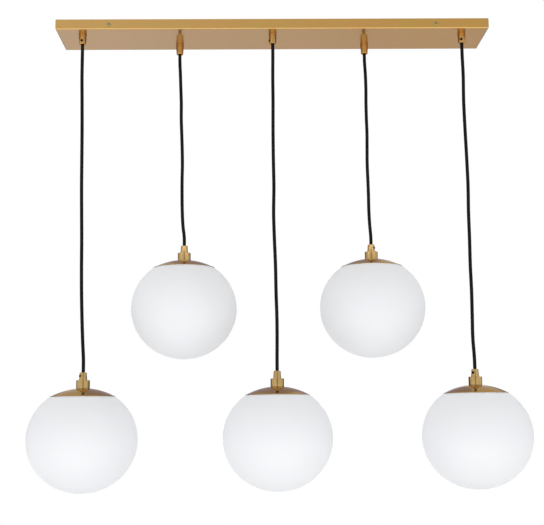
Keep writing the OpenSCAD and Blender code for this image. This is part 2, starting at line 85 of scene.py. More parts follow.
def node(tree, kind, inputs=(), **settings):
    """Adds a node to a tree, its kind given without ShaderNode or the like in front. Each input is a plain
    value, or the output that feeds it."""
    families = ("GeometryNode", "FunctionNode", "ShaderNode", "Node") if tree.type == "GEOMETRY" else ("ShaderNode",)
    made = tree.nodes.new(next(f + kind for f in families if hasattr(bpy.types, f + kind)))
    for name, value in settings.items():
        setattr(made, name, value)
    for name, value in dict(inputs).items():
        if isinstance(value, bpy.types.NodeSocket):
            tree.links.new(value, made.inputs[name])
        else:
            made.inputs[name].default_value = value
    return made


def first(tree, kind, inputs=(), **settings):
    """The first output of a new node."""
    return node(tree, kind, inputs, **settings).outputs[0]


def chain(tree, flow, *steps):
    """Leads an output through nodes one after another. A step is a kind, and a socket's value where needed."""
    for kind, *inputs in steps:
        made = node(tree, kind, inputs)
        tree.links.new(flow, made.inputs[0])
        flow = made.outputs[0]
    return flow


def maths(tree, operation, *values):
    """One step of arithmetic on plain values and outputs."""
    return first(tree, "Math", enumerate(values), operation=operation)


def own_place(tree):
    return node(tree, "TexCoord").outputs["Object"]


def grain(tree, scale, detail=3, vector=None):
    """A noise pattern on the object's own coordinates, or on the vector given."""
    sockets = {"Vector": vector or own_place(tree), "Scale": scale, "Detail": detail, "Roughness": 0.5}
    return first(tree, "TexNoise", sockets)


def between(tree, factor, dark, light, start=0.3, end=0.7):
    """Colour between two, as the factor goes from start to end."""
    ramp = node(tree, "ValToRGB", {"Fac": factor})
    for stop, place, colour in zip(ramp.color_ramp.elements, (start, end), (dark, light)):
        stop.position = place
        stop.color = (*colour, 1)
    return ramp.outputs["Color"]


def finish(name, **sockets):
    """A node material with one shader, and its tree. The sockets are constants on the shader."""
    made = bpy.data.materials.new(name)
    made.use_nodes = True
    for socket, value in sockets.items():
        made.node_tree.nodes["Principled BSDF"].inputs[socket.replace("_", " ")].default_value = value
    return made, made.node_tree


def dress(made, cloud, dark, light, fine=None, rough=None, depth=0, start=0.3, end=0.7):
    """Colours a finish between two tones as the cloud goes. The fine pattern moves its roughness between
    two values and stands out as relief, as deep in metres as given."""
    tree = made.node_tree
    sockets = tree.nodes["Principled BSDF"].inputs
    tree.links.new(between(tree, cloud, dark, light, start, end), sockets["Base Color"])
    if rough:
        inputs = {"Value": fine, "From Min": 0.3, "From Max": 0.7, "To Min": rough[0], "To Max": rough[1]}
        tree.links.new(first(tree, "MapRange", inputs), sockets["Roughness"])
    if depth:
        inputs = {"Height": fine, "Distance": depth, "Strength": 1.0}
        tree.links.new(first(tree, "Bump", inputs), sockets["Normal"])
    return made


def geometry_tree(name, inputs):
    """An empty Geometry Nodes tree with named inputs, and the node's outputs that they come out of."""
    tree = bpy.data.node_groups.new(name, "GeometryNodeTree")
    for label, kind in [("Geometry", "Geometry"), *inputs, ("Material", "Material")]:
        tree.interface.new_socket(label, in_out="INPUT", socket_type="NodeSocket" + kind)
    tree.interface.new_socket("Geometry", in_out="OUTPUT", socket_type="NodeSocketGeometry")
    return tree, node(tree, "GroupInput").outputs


def end_tree(tree, geometry, material):
    """Closes a tree with Realize Instances and Set Material."""
    painted = chain(tree, geometry, ("RealizeInstances",), ("SetMaterial", ("Material", material)))
    node(tree, "GroupOutput", {"Geometry": painted})
    return tree


def keep_shape(piece):
    """Turns what a piece's modifiers make into its plain mesh."""
    graph = bpy.context.evaluated_depsgraph_get()
    mesh = bpy.data.meshes.new_from_object(piece.evaluated_get(graph), depsgraph=graph)
    piece.modifiers.clear()
    piece.data = mesh
    return piece


def run_tree(piece, tree, values):
    """Sets a tree's inputs on a piece and keeps the result as its plain mesh."""
    modifier = piece.modifiers.new("shape", "NODES")
    modifier.node_group = tree
    for item in tree.interface.items_tree:
        if item.in_out == "INPUT" and item.name in values:
            modifier[item.identifier] = values[item.name]
    return keep_shape(piece)


def fasten(piece, stands_for, body="ceiling_mount"):
    """Lets a finished piece ride on its body and stand for its CAD node."""
    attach(piece, body)
    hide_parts(stands_for)


def smooth_route(points, step):
    """Close points on a smooth line through the given ones, with slopes weighed by the gaps beside them."""
    knots = [Vector(p) for p in points]
    gaps = [(b - a).length for a, b in zip(knots, knots[1:])]
    slopes = [(b - a) / gap for a, b, gap in zip(knots, knots[1:], gaps)]
    middle = [(s * h + t * g) / (g + h) for s, t, g, h in zip(slopes, slopes[1:], gaps, gaps[1:])]
    heads = [slopes[0], *middle, slopes[-1]]
    line = []
    for k, gap in enumerate(gaps):
        count = max(2, round(gap / step))
        for t in (j / count for j in range(count)):
            line.append(
                knots[k] * (2 * t**3 - 3 * t**2 + 1) + knots[k + 1] * (3 * t**2 - 2 * t**3)
                + heads[k] * gap * (t**3 - 2 * t**2 + t) + heads[k + 1] * gap * (t**3 - t**2)
            )
    return line + [knots[-1]]


def sweep_tree():
    """A round section swept along a line of edges. It keeps the distance along the line and the place
    around it in the attribute lay, for patterns that follow the surface."""
    tree, given = geometry_tree("round_sweep", [("Diameter", "Float"), ("Sides", "Int")])
    line = first(tree, "MeshToCurve", {"Mesh": given["Geometry"]})
    circle = first(tree, "CurvePrimitiveCircle",
        {"Resolution": given["Sides"], "Radius": maths(tree, "MULTIPLY", given["Diameter"], 0.5)})
    marked = []
    for curve, measure in ((line, "Length"), (circle, "Factor")):
        mark = node(tree, "CaptureAttribute", {"Geometry": curve})
        mark.capture_items.new("FLOAT", measure)
        tree.links.new(node(tree, "SplineParameter").outputs[measure], mark.inputs[measure])
        marked.append(mark.outputs)
    along, around = marked
    tube = first(tree, "CurveToMesh", {"Curve": along[0], "Profile Curve": around[0], "Fill Caps": True})
    angle = maths(tree, "MULTIPLY", around["Factor"], tau)
    lay = first(tree, "CombineXYZ",
        {"X": along["Length"], "Y": maths(tree, "COSINE", angle), "Z": maths(tree, "SINE", angle)})
    kept = node(tree, "StoreNamedAttribute", {"Geometry": tube, "Name": "lay"},
        data_type="FLOAT_VECTOR", domain="POINT")
    tree.links.new(lay, next(s for s in kept.inputs if s.name == "Value" and s.enabled))
    smooth = first(tree, "SetShadeSmooth", {"Geometry": kept.outputs[0]})
    return end_tree(tree, smooth, given["Material"])


round_sweep = sweep_tree()


def wire(name, points):
    """A line of edges through points in millimetres."""
    mesh = bpy.data.meshes.new(name)
    mesh.from_pydata([Vector(p) * MM for p in points], [(k, k + 1) for k in range(len(points) - 1)], [])
    return linked(name, mesh)


def swept(name, points, diameter, sides, material):
    """A round piece along points in millimetres."""
    sizes = {"Diameter": diameter * MM, "Sides": sides, "Material": material}
    return run_tree(wire(name, points), round_sweep, sizes)


def cord_finish():
    """Black plastic sheath: nearly without sheen, with the fine lengthwise lines of extrusion."""
    made, tree = finish("black_cord", IOR=1.46, Specular_IOR_Level=0.08)
    lay = node(tree, "Attribute", attribute_name="lay").outputs["Vector"]
    streak = grain(tree, 1.0, 4, first(tree, "Mapping", {"Vector": lay, "Scale": (6, 9, 9)}))
    return dress(made, grain(tree, 55), (0.0045, 0.0045, 0.005), (0.008, 0.008, 0.009), streak, (0.45, 0.62), 0.00012)


black_cord = cord_finish()
head_places = [Vector((x + sway[-1], y, GRIP_MOUTH_Z - drop))
    for x, y, drop, sway in zip(HANG_X, HANG_Y, DROPS, SWAY)]
for i, (x, y, drop) in enumerate(zip(HANG_X, HANG_Y, DROPS)):
    points = [(x, y, GRIP_MOUTH_Z + CORD_INSERT)]
    points += [(x + out, y, GRIP_MOUTH_Z - drop * share / 100) for out, share in zip(SWAY[i], SHARES[drop])]
    line = smooth_route(points + [head_places[i] - Vector((0, 0, CORD_INSERT))], CORD_STEP)
    cord = swept(f"hanging_flex_{i + 1}", line, CORD_D, 24, black_cord)
    fasten(cord, f"cord_{i + 1}", f"hanging_cord_{i + 1}")

# The ceiling tray: satin brass sheet, 1.2 mm thick, folded down on four sides with 2 mm bends. The end lips
# run the full depth, so their bare sheet edge shows as a narrow strip at both ends of each long lip.
TRAY_L, TRAY_D, TRAY_H, TRAY_T, TRAY_BEND_R = 800, 110, 19, 1.2, 2
TRAY_FLOOR_Z = TRAY_T - TRAY_H
BRACKET_X, SCREW_Z, SCREW_HOLE_R, ROD_HOLE_R = 302, -10, 2.2, 5.2
SEAM_W, SEAM_DEPTH, CORNER_C, EDGE = 0.16, 0.35, 0.15, 0.2
LYING = Euler((pi / 2, 0, 0))


def to_piece(name, bm, *materials, crease=35):
    """Closes a mesh made in millimetres, shades it and links it as a piece in metres."""
    bmesh.ops.remove_doubles(bm, verts=bm.verts, dist=0.0005)
    bmesh.ops.recalc_face_normals(bm, faces=bm.faces)
    mesh = bpy.data.meshes.new(name)
    bm.to_mesh(mesh)
    bm.free()
    for material in materials:
        mesh.materials.append(material)
    mesh.transform(Matrix.Scale(MM, 4))
    mesh.shade_smooth()
    mesh.set_sharp_from_angle(angle=radians(crease))
    return linked(name, mesh)


def skin(bm, rows, ends=True):
    """Faces between closed rows of points and over both ends. It gives back the faces between."""
    sides = []
    for low, high in zip(rows, rows[1:]):
        for k in range(len(low)):
            m = (k + 1) % len(low)
            sides.append(bm.faces.new((low[k], low[m], high[m], high[k])))
    if ends:
        bm.faces.new(rows[0])
        bm.faces.new(rows[-1])
    return sides


def carve(piece, *tools, operation="DIFFERENCE", crease=35):
    """Cuts each tool out of a piece, or keeps only what it shares with one."""
    for tool in tools:
        modifier = piece.modifiers.new("cut", "BOOLEAN")
        modifier.operation = operation
        modifier.solver = "EXACT"
        modifier.object = tool
    keep_shape(piece)
    for tool in tools:
        bpy.data.objects.remove(tool)
    piece.data.set_sharp_from_angle(angle=radians(crease))
    return piece


def bar(bm, place, sides, foot_r, top_r, length, turn=Euler()):
    """A straight bar or cone centred on a place, along z before it is turned."""
    bmesh.ops.create_cone(bm, cap_ends=True, segments=sides, radius1=foot_r, radius2=top_r, depth=length,
        matrix=Matrix.Translation(place) @ turn.to_matrix().to_4x4())


def round_bars(places, radius, length, turn=Euler(), sides=40):
    """Round cutting tools, each centred on a place, all along one direction."""
    bm = bmesh.new()
    for place in places:
        bar(bm, place, sides, radius, radius, length, turn)
    return to_piece("round_tool", bm)


def tray_ring(bm, inset, z, seam):
    """One turn around the tray, with the seam grooves at both ends of the long sides."""
    x, y = TRAY_L / 2 - inset, TRAY_D / 2 - inset
    seam_x = min(TRAY_L / 2 - TRAY_T, x - 2 * CORNER_C)
    side = [(x, -y + CORNER_C), (x, y - CORNER_C), (x - CORNER_C, y)]
    side += [(seam_x + SEAM_W / 2, y), (seam_x + SEAM_W / 2, y - seam)]
    side += [(seam_x - SEAM_W / 2, y - seam), (seam_x - SEAM_W / 2, y)]
    half = side + [(-px, py) for px, py in reversed(side)]
    whole = half + [(-px, -py) for px, py in half[2:-2]]
    return [bm.verts.new((px, py, z)) for px, py in whole]


def tray_sheet():
    """The folded sheet, ring by ring: up the outside from the underside, over the lip and down the inside."""
    bm = bmesh.new()
    r, t, rise = TRAY_BEND_R, TRAY_T, TRAY_BEND_R - TRAY_H
    bend = [radians(90 - 7.5 * k) for k in range(13)]
    rings = [(r + EDGE, -TRAY_H, 0)]
    rings += [(r - r * cos(a), rise - r * sin(a), SEAM_DEPTH * cos(a)) for a in bend]
    rings += [(0, rise + EDGE, SEAM_DEPTH), (0, -EDGE, SEAM_DEPTH), (CORNER_C, 0, SEAM_DEPTH - CORNER_C)]
    rings += [(t - EDGE, 0, 0), (t, -EDGE, 0), (t, rise + EDGE, 0)]
    inner_r = r - t
    rings += [(r - inner_r * cos(a), rise - inner_r * sin(a), 0) for a in reversed(bend)]
    rings += [(r + EDGE, TRAY_FLOOR_Z, 0)]
    skin(bm, [tray_ring(bm, *ring) for ring in rings])
    return bm


def satin_brass_finish():
    """Satin brass sheet under clear lacquer, with faint warm and greenish patches and a very fine rolled grain."""
    made, tree = finish("satin_brass", Metallic=1.0, Specular_Tint=(0.45, 0.35, 0.45, 1), Coat_Weight=1.0,
        Coat_Roughness=0.03, Coat_IOR=1.5)
    drawn = first(tree, "Mapping", {"Vector": own_place(tree), "Scale": (12, 900, 900)})
    return dress(made, grain(tree, 11), (0.522, 0.288, 0.080), (0.490, 0.308, 0.068), grain(tree, 1.0, 2, drawn),
        (0.32, 0.38), 0.000003)


tray = to_piece("ceiling_tray", tray_sheet(), satin_brass_finish())
rod_places = [(x, y, -TRAY_H) for x, y in zip(HANG_X, HANG_Y)]
screw_places = [(x, 0, SCREW_Z) for x in (-BRACKET_X, BRACKET_X)]
carve(tray, round_bars(rod_places, ROD_HOLE_R, 6), round_bars(screw_places, SCREW_HOLE_R, 2 * TRAY_D, LYING))
fasten(tray, "canopy_tray")

# Two ceiling brackets of zinc plated steel strip stand inside the tray. Each is screwed to the ceiling
# through its slots, and its folded tabs are tapped for the screws that hold the tray.
BRACKET_W, BRACKET_T, BRACKET_TAB, BRACKET_HALF = 20, 1.5, 14, 53.5
SLOT_W, SLOT_L, SLOT_PITCH, SCREW_R = 5, 12, 54, 2.05


def soften(outline, steps=4):
    """Rounds the corners of a closed outline: a corner is (u, v), or (u, v, radius)."""
    points = []
    for k, corner in enumerate(outline):
        here = Vector(corner[:2])
        if len(corner) < 3:
            points.append(here)
            continue
        back = Vector(outline[k - 1][:2]) - here
        ahead = Vector(outline[(k + 1) % len(outline)][:2]) - here
        reach = min(corner[2] / tan(back.angle(ahead) / 2), back.length * 0.48, ahead.length * 0.48)
        start, end = here + back.normalized() * reach, here + ahead.normalized() * reach
        for t in (j / steps for j in range(steps + 1)):
            points.append(start * (1 - t) ** 2 + here * 2 * t * (1 - t) + end * t**2)
    return points


def extruded(name, outline, low, high, chamfer, swap, material):
    """An outline pushed from one height to another with small chamfers. Swap turns (u, v, w) to x, y, z."""
    bm = bmesh.new()
    rows = []
    for w, inset in ((low, chamfer), (low + chamfer, 0), (high - chamfer, 0), (high, chamfer)):
        row = []
        for k, point in enumerate(outline):
            along = (outline[(k + 1) % len(outline)] - outline[k - 1]).normalized()
            row.append(bm.verts.new(swap(*(point + Vector((-along.y, along.x)) * inset), w)))
        rows.append(row)
    skin(bm, rows)
    return to_piece(name, bm, material)


def zinc_finish():
    """Bright zinc plating: bluish grey with a soft spangle."""
    made, tree = finish("zinc_plate", Metallic=1.0)
    spangle = node(tree, "TexVoronoi", {"Vector": own_place(tree), "Scale": 160.0}).outputs["Color"]
    tone = first(tree, "SeparateColor", {"Color": spangle})
    return dress(made, tone, (0.50, 0.52, 0.54), (0.62, 0.64, 0.65), grain(tree, 700), (0.28, 0.42), 0.00001, 0, 1)


zinc_plate = zinc_finish()


def bracket_outline():
    """The strip seen from its end, counter-clockwise: across the ceiling, with a tab down at each side."""
    h, t = BRACKET_HALF, BRACKET_T
    left = [(-h, 0, t + 0.5), (-h, -BRACKET_TAB), (-h + t, -BRACKET_TAB), (-h + t, -t, 0.5)]
    return soften(left + [(-corner[0], *corner[1:]) for corner in reversed(left)])


def slot_tool(x):
    """Cutting tools for the two slots of a bracket, which run along the tray."""
    bm = bmesh.new()
    straight = (SLOT_L - SLOT_W) / 2
    ends = [(side * straight, radians(15 * k - 90 * side)) for side in (1, -1) for k in range(13)]
    for y in (-SLOT_PITCH / 2, SLOT_PITCH / 2):
        skin(bm, [[bm.verts.new((x + s + SLOT_W / 2 * cos(a), y + SLOT_W / 2 * sin(a), z))
            for s, a in ends] for z in (-4, 2)])
    return to_piece("slot_tool", bm)


def merged(name, pieces):
    """Joins pieces into the first one, with their materials, under a new name."""
    with bpy.context.temp_override(active_object=pieces[0], selected_editable_objects=pieces):
        bpy.ops.object.join()
    pieces[0].name = pieces[0].data.name = name
    return pieces[0]


brackets = []
for x in (-BRACKET_X, BRACKET_X):
    strip = extruded("strip", bracket_outline(), x - BRACKET_W / 2, x + BRACKET_W / 2, 0.2,
        lambda u, v, w: (w, u, v), zinc_plate)
    brackets.append(carve(strip, slot_tool(x), round_bars([(x, 0, SCREW_Z)], SCREW_R, 2 * TRAY_D, LYING)))
fasten(merged("ceiling_strips", brackets), "ceiling_brackets")

# Four nickel plated pan head screws with a cross recess hold the tray to the brackets. Two go through the
# front lip and two through the rear one, into the tapped tabs.
SCREW_HEAD_R, SCREW_HEAD_H, SCREW_L, SCREW_THREAD_R, SCREW_NECK_R = 3.6, 2.4, 8, 2.0, 1.75
RECESS_FOOT, RECESS_TOP, RECESS_TURN = (2.6, 0.6, 1.0), (4.6, 1.05, 2.9), 0.7


def ring(bm, r, z, sides):
    """Points around the z axis."""
    turns = (tau * s / sides for s in range(sides))
    return [bm.verts.new((r * cos(a), r * sin(a), z)) for a in turns]


def lathe(name, outline, sides, *materials, crease=35):
    """A piece turned from a closed outline of (r, z) points. Its map holds the turn around the axis and
    the distance along the outline in metres."""
    bm = bmesh.new()
    turned = bm.loops.layers.uv.verify()
    rows, runs = [], [0.0]
    for k, (r, z) in enumerate(outline):
        rows.append([bm.verts.new((0, 0, z))] * sides if r < 0.001 else ring(bm, r, z, sides))
        ahead = outline[(k + 1) % len(outline)]
        runs.append(runs[-1] + hypot(ahead[0] - r, ahead[1] - z) * MM)
    for k in range(len(rows)):
        low, high = rows[k], rows[(k + 1) % len(rows)]
        for s in range(sides):
            m = (s + 1) % sides
            corners = [(low[s], s, k), (low[m], s + 1, k), (high[m], s + 1, k + 1), (high[s], s, k + 1)]
            if low[0] is low[1]:
                corners.pop(1)
            if high[0] is high[1]:
                corners.pop(-1)
            if len(corners) > 2:
                face = bm.faces.new([c[0] for c in corners])
                for loop, (_, turn, row) in zip(face.loops, corners):
                    loop[turned].uv = (turn / sides, runs[row])
    return to_piece(name, bm, *materials, crease=crease)


def threaded(name, radius, depth, thread_pitch, low, high, bore, sides, material):
    """A threaded rod with a true helix on its outside and a plain bore or a solid core."""
    steps = round((high - low) / thread_pitch * 6)
    bm = bmesh.new()
    turned = bm.loops.layers.uv.verify()
    rows = []
    for k in range(steps + 1):
        z = low + (high - low) * k / steps
        fade = min(1, (z - low) / thread_pitch, (high - z) / thread_pitch)
        row = []
        for s in range(sides):
            phase = ((z - low) / thread_pitch - s / sides) % 1
            r = radius - depth * (abs(2 * phase - 1) * fade + (1 - fade))
            a = tau * s / sides
            row.append(bm.verts.new((r * cos(a), r * sin(a), z)))
        rows.append(row)
    if bore:
        rows += [ring(bm, bore, high, sides), ring(bm, bore, low, sides), rows[0]]
    for k, face in enumerate(skin(bm, rows, ends=not bore)):
        for loop in face.loops:
            loop[turned].uv = (k % sides / sides, loop.vert.co.z * MM)
    return to_piece(name, bm, material, crease=60)


def metal_finish(name, dark, light, rough, ring_pitch=0.00012, ring_depth=0.000004, **sockets):
    """Turned or plated metal: patches of tone, and fine tool rings that follow the turned outline."""
    made, tree = finish(name, Metallic=1.0, **sockets)
    turned = first(tree, "UVMap", uv_map="UVMap")
    along = node(tree, "SeparateXYZ", {"Vector": turned}).outputs["Y"]
    rings = first(tree, "TexNoise", {"W": along, "Scale": 1 / ring_pitch, "Detail": 2.0},
        noise_dimensions="1D")
    return dress(made, grain(tree, 70, 4), dark, light, rings, rough, ring_depth)


nickel = metal_finish("nickel_plate", (0.27, 0.25, 0.115), (0.37, 0.34, 0.17), (0.3, 0.42))


def pan_head():
    r, h, neck_r, neck_z = SCREW_HEAD_R, SCREW_HEAD_H, SCREW_NECK_R, -0.8
    outline = [(0, h), (r * 0.70, h, 1.3), (r, h * 0.5, 0.9), (r, 0, 0.12), (neck_r, 0), (neck_r, neck_z),
        (0, neck_z)]
    return lathe("head", soften(outline, 6), 40, nickel, crease=50)


def recess_tool(turn):
    """One arm of the cross recess, narrower at its bottom."""
    bm = bmesh.new()
    for v in bmesh.ops.create_cube(bm, size=1)["verts"]:
        long, wide, z = RECESS_FOOT if v.co.z < 0 else RECESS_TOP
        v.co = Matrix.Rotation(turn, 3, "Z") @ Vector((v.co.x * long, v.co.y * wide, z))
    return to_piece("recess_tool", bm)


def copies_tree():
    """A piece repeated on marked points, each with its own turn."""
    tree, given = geometry_tree("copies_on_places", [("Piece", "Object")])
    piece = node(tree, "ObjectInfo", {"Object": given["Piece"]}).outputs["Geometry"]
    turn = first(tree, "InputNamedAttribute", {"Name": "turn"}, data_type="FLOAT_VECTOR")
    euler = first(tree, "EulerToRotation", {"Euler": turn})
    points = first(tree, "MeshToPoints", {"Mesh": given["Geometry"]})
    copies = first(tree, "InstanceOnPoints", {"Points": points, "Instance": piece, "Rotation": euler})
    return end_tree(tree, copies, given["Material"])


copies_on_places = copies_tree()


def repeated(name, template, places, turns):
    """Copies of a template piece at places in millimetres, each with its turn, as one piece."""
    mesh = bpy.data.meshes.new(name)
    mesh.from_pydata([Vector(p) * MM for p in places], [], [])
    mesh.attributes.new("turn", "FLOAT_VECTOR", "POINT").data.foreach_set("vector", [a for t in turns for a in t])
    inputs = {"Piece": template, "Material": template.data.materials[0]}
    piece = run_tree(linked(name, mesh), copies_on_places, inputs)
    bpy.data.objects.remove(template)
    return piece


head = carve(pan_head(), recess_tool(RECESS_TURN), recess_tool(RECESS_TURN + pi / 2))
shank = threaded("shank", SCREW_THREAD_R, 0.3, 0.7, -SCREW_L, -0.4, 0, 24, nickel)
seats = [(x, side) for x in (-BRACKET_X, BRACKET_X) for side in (-1, 1)]
screws = repeated("tray_screws", merged("tray_screw", [head, shank]),
    [(x, side * TRAY_D / 2, SCREW_Z) for x, side in seats], [(-side * pi / 2, 0, 0) for x, side in seats])
fasten(screws, "canopy_screws")

# Five turned brass grips under the tray clamp the tops of the cords. A black grub screw in the side of each
# presses on the cord. The grips were tightened by hand, so the screws face different ways.
UPPER_GRIP_L, UPPER_GRIP_WIDE, UPPER_GRIP_MOUTH, UPPER_GRUB_UP = 19.5, 14.6, 12.8, 6
GRIP_BORE_R, GRIP_THREAD_R, GRIP_CHAMFER, ROD_TO_GRUB = 3.5, 5.05, 0.6, 0.7
GRUB_R, GRUB_PROUD, GRUB_FOOT, GRUB_CHAMFER, GRUB_CAP = 2.3, 0.8, 3.15, 0.3, 1.2
GRUB_SOCKET, GRUB_SOCKET_DEPTH, GRUB_SOCKET_FOOT_R = 2.0, 1.4, 0.9
UPPER_GRUB_TURNS = [-5, 160, -75, 200, -16]

turned_brass = metal_finish("turned_brass", (0.46, 0.27, 0.09), (0.51, 0.305, 0.108), (0.2, 0.27),
    ring_pitch=0.0002, ring_depth=0.0000015, Specular_Tint=(0.7, 0.6, 0.5, 1))
black_oxide = metal_finish("black_oxide", (0.004, 0.004, 0.0045), (0.009, 0.009, 0.01), (0.35, 0.5),
    Specular_Tint=(0.15, 0.15, 0.15, 1))


def grip(length, wide, mouth, grub_down, way, brass):
    """A tapered grip with its mouth at zero and its wide end at length, up or down as way says."""
    c = GRIP_CHAMFER
    thread_end = grub_down + GRUB_R + ROD_TO_GRUB
    outline = [(GRIP_BORE_R, 0, 0.4), (mouth / 2 - c, 0, 0.2), (mouth / 2, c, 0.3), (wide / 2, length, 0.25),
        (GRIP_THREAD_R, length, 0.2), (GRIP_THREAD_R, thread_end), (GRIP_BORE_R, thread_end)]
    piece = lathe("grip", [(r, z * way) for r, z in soften(outline, 5)], 72, brass)
    return carve(piece, round_bars([(0, -wide / 2, way * grub_down)], GRUB_R + 0.05, wide, LYING, 32))


def grub_screw(length, wide, mouth, grub_down, way):
    """The grub screw of a grip of these sizes. It faces the front, with a hexagon socket and a threaded body."""
    grip_r = (mouth + (wide - mouth) * (grub_down - GRIP_CHAMFER) / (length - GRIP_CHAMFER)) / 2
    out, r, c = grip_r + GRUB_PROUD, GRUB_R, GRUB_CHAMFER
    outline = [(0, out), (r - c, out, 0.15), (r, out - c, 0.15), (r, out - GRUB_CAP), (r - c, out - GRUB_CAP - c),
        (0, out - GRUB_CAP - c)]
    cap = lathe("cap", soften(outline), 32, black_oxide)
    key = bmesh.new()
    bar(key, (0, 0, out), 6, GRUB_SOCKET_FOOT_R, GRUB_SOCKET / sqrt(3), 2 * GRUB_SOCKET_DEPTH)
    body = threaded("body", r, 0.25, 0.5, GRUB_FOOT, out - GRUB_CAP - 0.1, 0, 24, black_oxide)
    piece = merged("grub_screw", [carve(cap, to_piece("key_tool", key)), body])
    to_front = Euler((0, pi / 2, -pi / 2)).to_matrix().to_4x4()
    piece.data.transform(Matrix.Translation((0, 0, way * grub_down * MM)) @ to_front)
    return piece


mouths = [(x, y, GRIP_MOUTH_Z) for x, y in zip(HANG_X, HANG_Y)]
grub_turns = [(0, 0, radians(t)) for t in UPPER_GRUB_TURNS]
upper_sizes = (UPPER_GRIP_L, UPPER_GRIP_WIDE, UPPER_GRIP_MOUTH, UPPER_GRUB_UP, 1)
grips = repeated("tray_grips", grip(*upper_sizes, turned_brass), mouths, grub_turns)
fasten(grips, "upper_grips")
grubs = repeated("tray_grub_screws", grub_screw(*upper_sizes), mouths, grub_turns)
fasten(grubs, "upper_set_screws")

# A hollow threaded brass rod comes up from each grip through the tray floor, and a zinc plated hexagon nut
# on it clamps the grip to the tray.
ROD_R, ROD_BORE_R, ROD_THREAD, ROD_PITCH, NUT_AF, NUT_H, ROD_PAST_NUT = 5.0, 3.5, 0.45, 1.0, 14, 4, 1.5
UPPER_ROD_FOOT = GRIP_MOUTH_Z + UPPER_GRUB_UP + GRUB_R + 1
UPPER_ROD_TOP = TRAY_FLOOR_Z + NUT_H + ROD_PAST_NUT

plain_brass = metal_finish("plain_brass", (0.58, 0.44, 0.20), (0.68, 0.52, 0.25), (0.2, 0.32))


def hollow_rod(foot, top):
    return threaded("rod", ROD_R, ROD_THREAD, ROD_PITCH, foot, top, ROD_BORE_R, 48, plain_brass)


hangs = [(x, y, 0) for x, y in zip(HANG_X, HANG_Y)]
rods = repeated("tray_rods", hollow_rod(UPPER_ROD_FOOT, UPPER_ROD_TOP), hangs, [(0, 0, 0)] * 5)
fasten(rods, "upper_nipples")


def lock_nut():
    """A hexagon nut with its corners turned off and its bore countersunk."""
    corner_r, low, high = NUT_AF / sqrt(3), TRAY_FLOOR_Z, TRAY_FLOOR_Z + NUT_H
    blank = bmesh.new()
    bar(blank, (0, 0, (low + high) / 2), 6, corner_r, corner_r, NUT_H)
    edge, past, bore, sink = NUT_AF / 2 - 0.1, corner_r + 0.1, ROD_R + 0.05, ROD_R + 0.6
    cone = [(sink, low), (edge, low), (past, low + 0.7), (past, high - 0.7), (edge, high), (sink, high),
        (bore, high - 0.6), (bore, low + 0.6)]
    return carve(to_piece("nut", blank, zinc_plate), lathe("cone", cone, 72), operation="INTERSECT", crease=25)


nuts = repeated("tray_nuts", lock_nut(), hangs, [(0, 0, pi / 6)] * 5)
fasten(nuts, "upper_lock_nuts")

# Inside the tray the cores of each cord, in a woven heat sleeve, run along the floor to a terminal block.
# The black sheath ends just above its rod. The earth core ends in a push-on terminal.
LEAD_D, CORE_D, BLOCK_X, BLOCK_W, BLOCK_L, BLOCK_H = 4, 2, PITCH / 2, 20, 27, 13.5
PORT_UP, PORT_DEPTH, PORT_PITCH = 4.5, 4, 9
PORT_Z = TRAY_FLOOR_Z + PORT_UP
LANES = [0, 9, -9, 9, -9]
LEAD_FLOOR_Z, LEAD_RUN, LEAD_STEP = TRAY_FLOOR_Z + LEAD_D / 2 + 0.2, 60, 1.6
BLADE_L, BLADE_T, BLADE_W, PUSH_ON_WALL, PUSH_ON_GAP = 8, 0.8, 6.3, 0.6, 0.3
EARTH_X = BLOCK_X + BLOCK_W / 2 + 20
EARTH_BACK = EARTH_X - BLADE_L - PUSH_ON_WALL - PUSH_ON_GAP
STRANDS_AROUND, STRANDS_ALONG = 8.0, 5200.0


def sleeve_finish():
    """Braided heat sleeve: two sets of strands that cross on the diagonal, rust red with paler flecks."""
    made, tree = finish("woven_sleeve", Roughness=0.75, Sheen_Weight=0.4, Sheen_Roughness=0.5)
    lay = node(tree, "Attribute", attribute_name="lay").outputs["Vector"]
    split = node(tree, "SeparateXYZ", {"Vector": lay}).outputs
    around = maths(tree, "MULTIPLY", maths(tree, "ARCTAN2", split["Z"], split["Y"]), STRANDS_AROUND)
    along = maths(tree, "MULTIPLY", split["X"], STRANDS_ALONG)
    waves = [maths(tree, "SINE", maths(tree, way, along, around)) for way in ("ADD", "SUBTRACT")]
    crossing = {"Value": maths(tree, "MULTIPLY", *waves), "From Min": -1.0, "From Max": 1.0}
    weave = first(tree, "MapRange", crossing)
    return dress(made, weave, (0.16, 0.035, 0.02), (0.44, 0.12, 0.07), weave, None, 0.0002, 0.2, 0.8)


def plastic_finish(name, dark, light, rough, **sockets):
    """Moulded plastic or glazed clay: a faint mottle and a slightly uneven gloss."""
    made, tree = finish(name, **sockets)
    return dress(made, grain(tree, 120, 4), dark, light, grain(tree, 1500, 2), rough, 0.000015)


woven_sleeve = sleeve_finish()
earth_green = plastic_finish("earth_core", (0.12, 0.36, 0.06), (0.20, 0.46, 0.09), (0.35, 0.45))
block_plastic = plastic_finish("block_plastic", (0.74, 0.72, 0.65), (0.80, 0.78, 0.71), (0.38, 0.5))


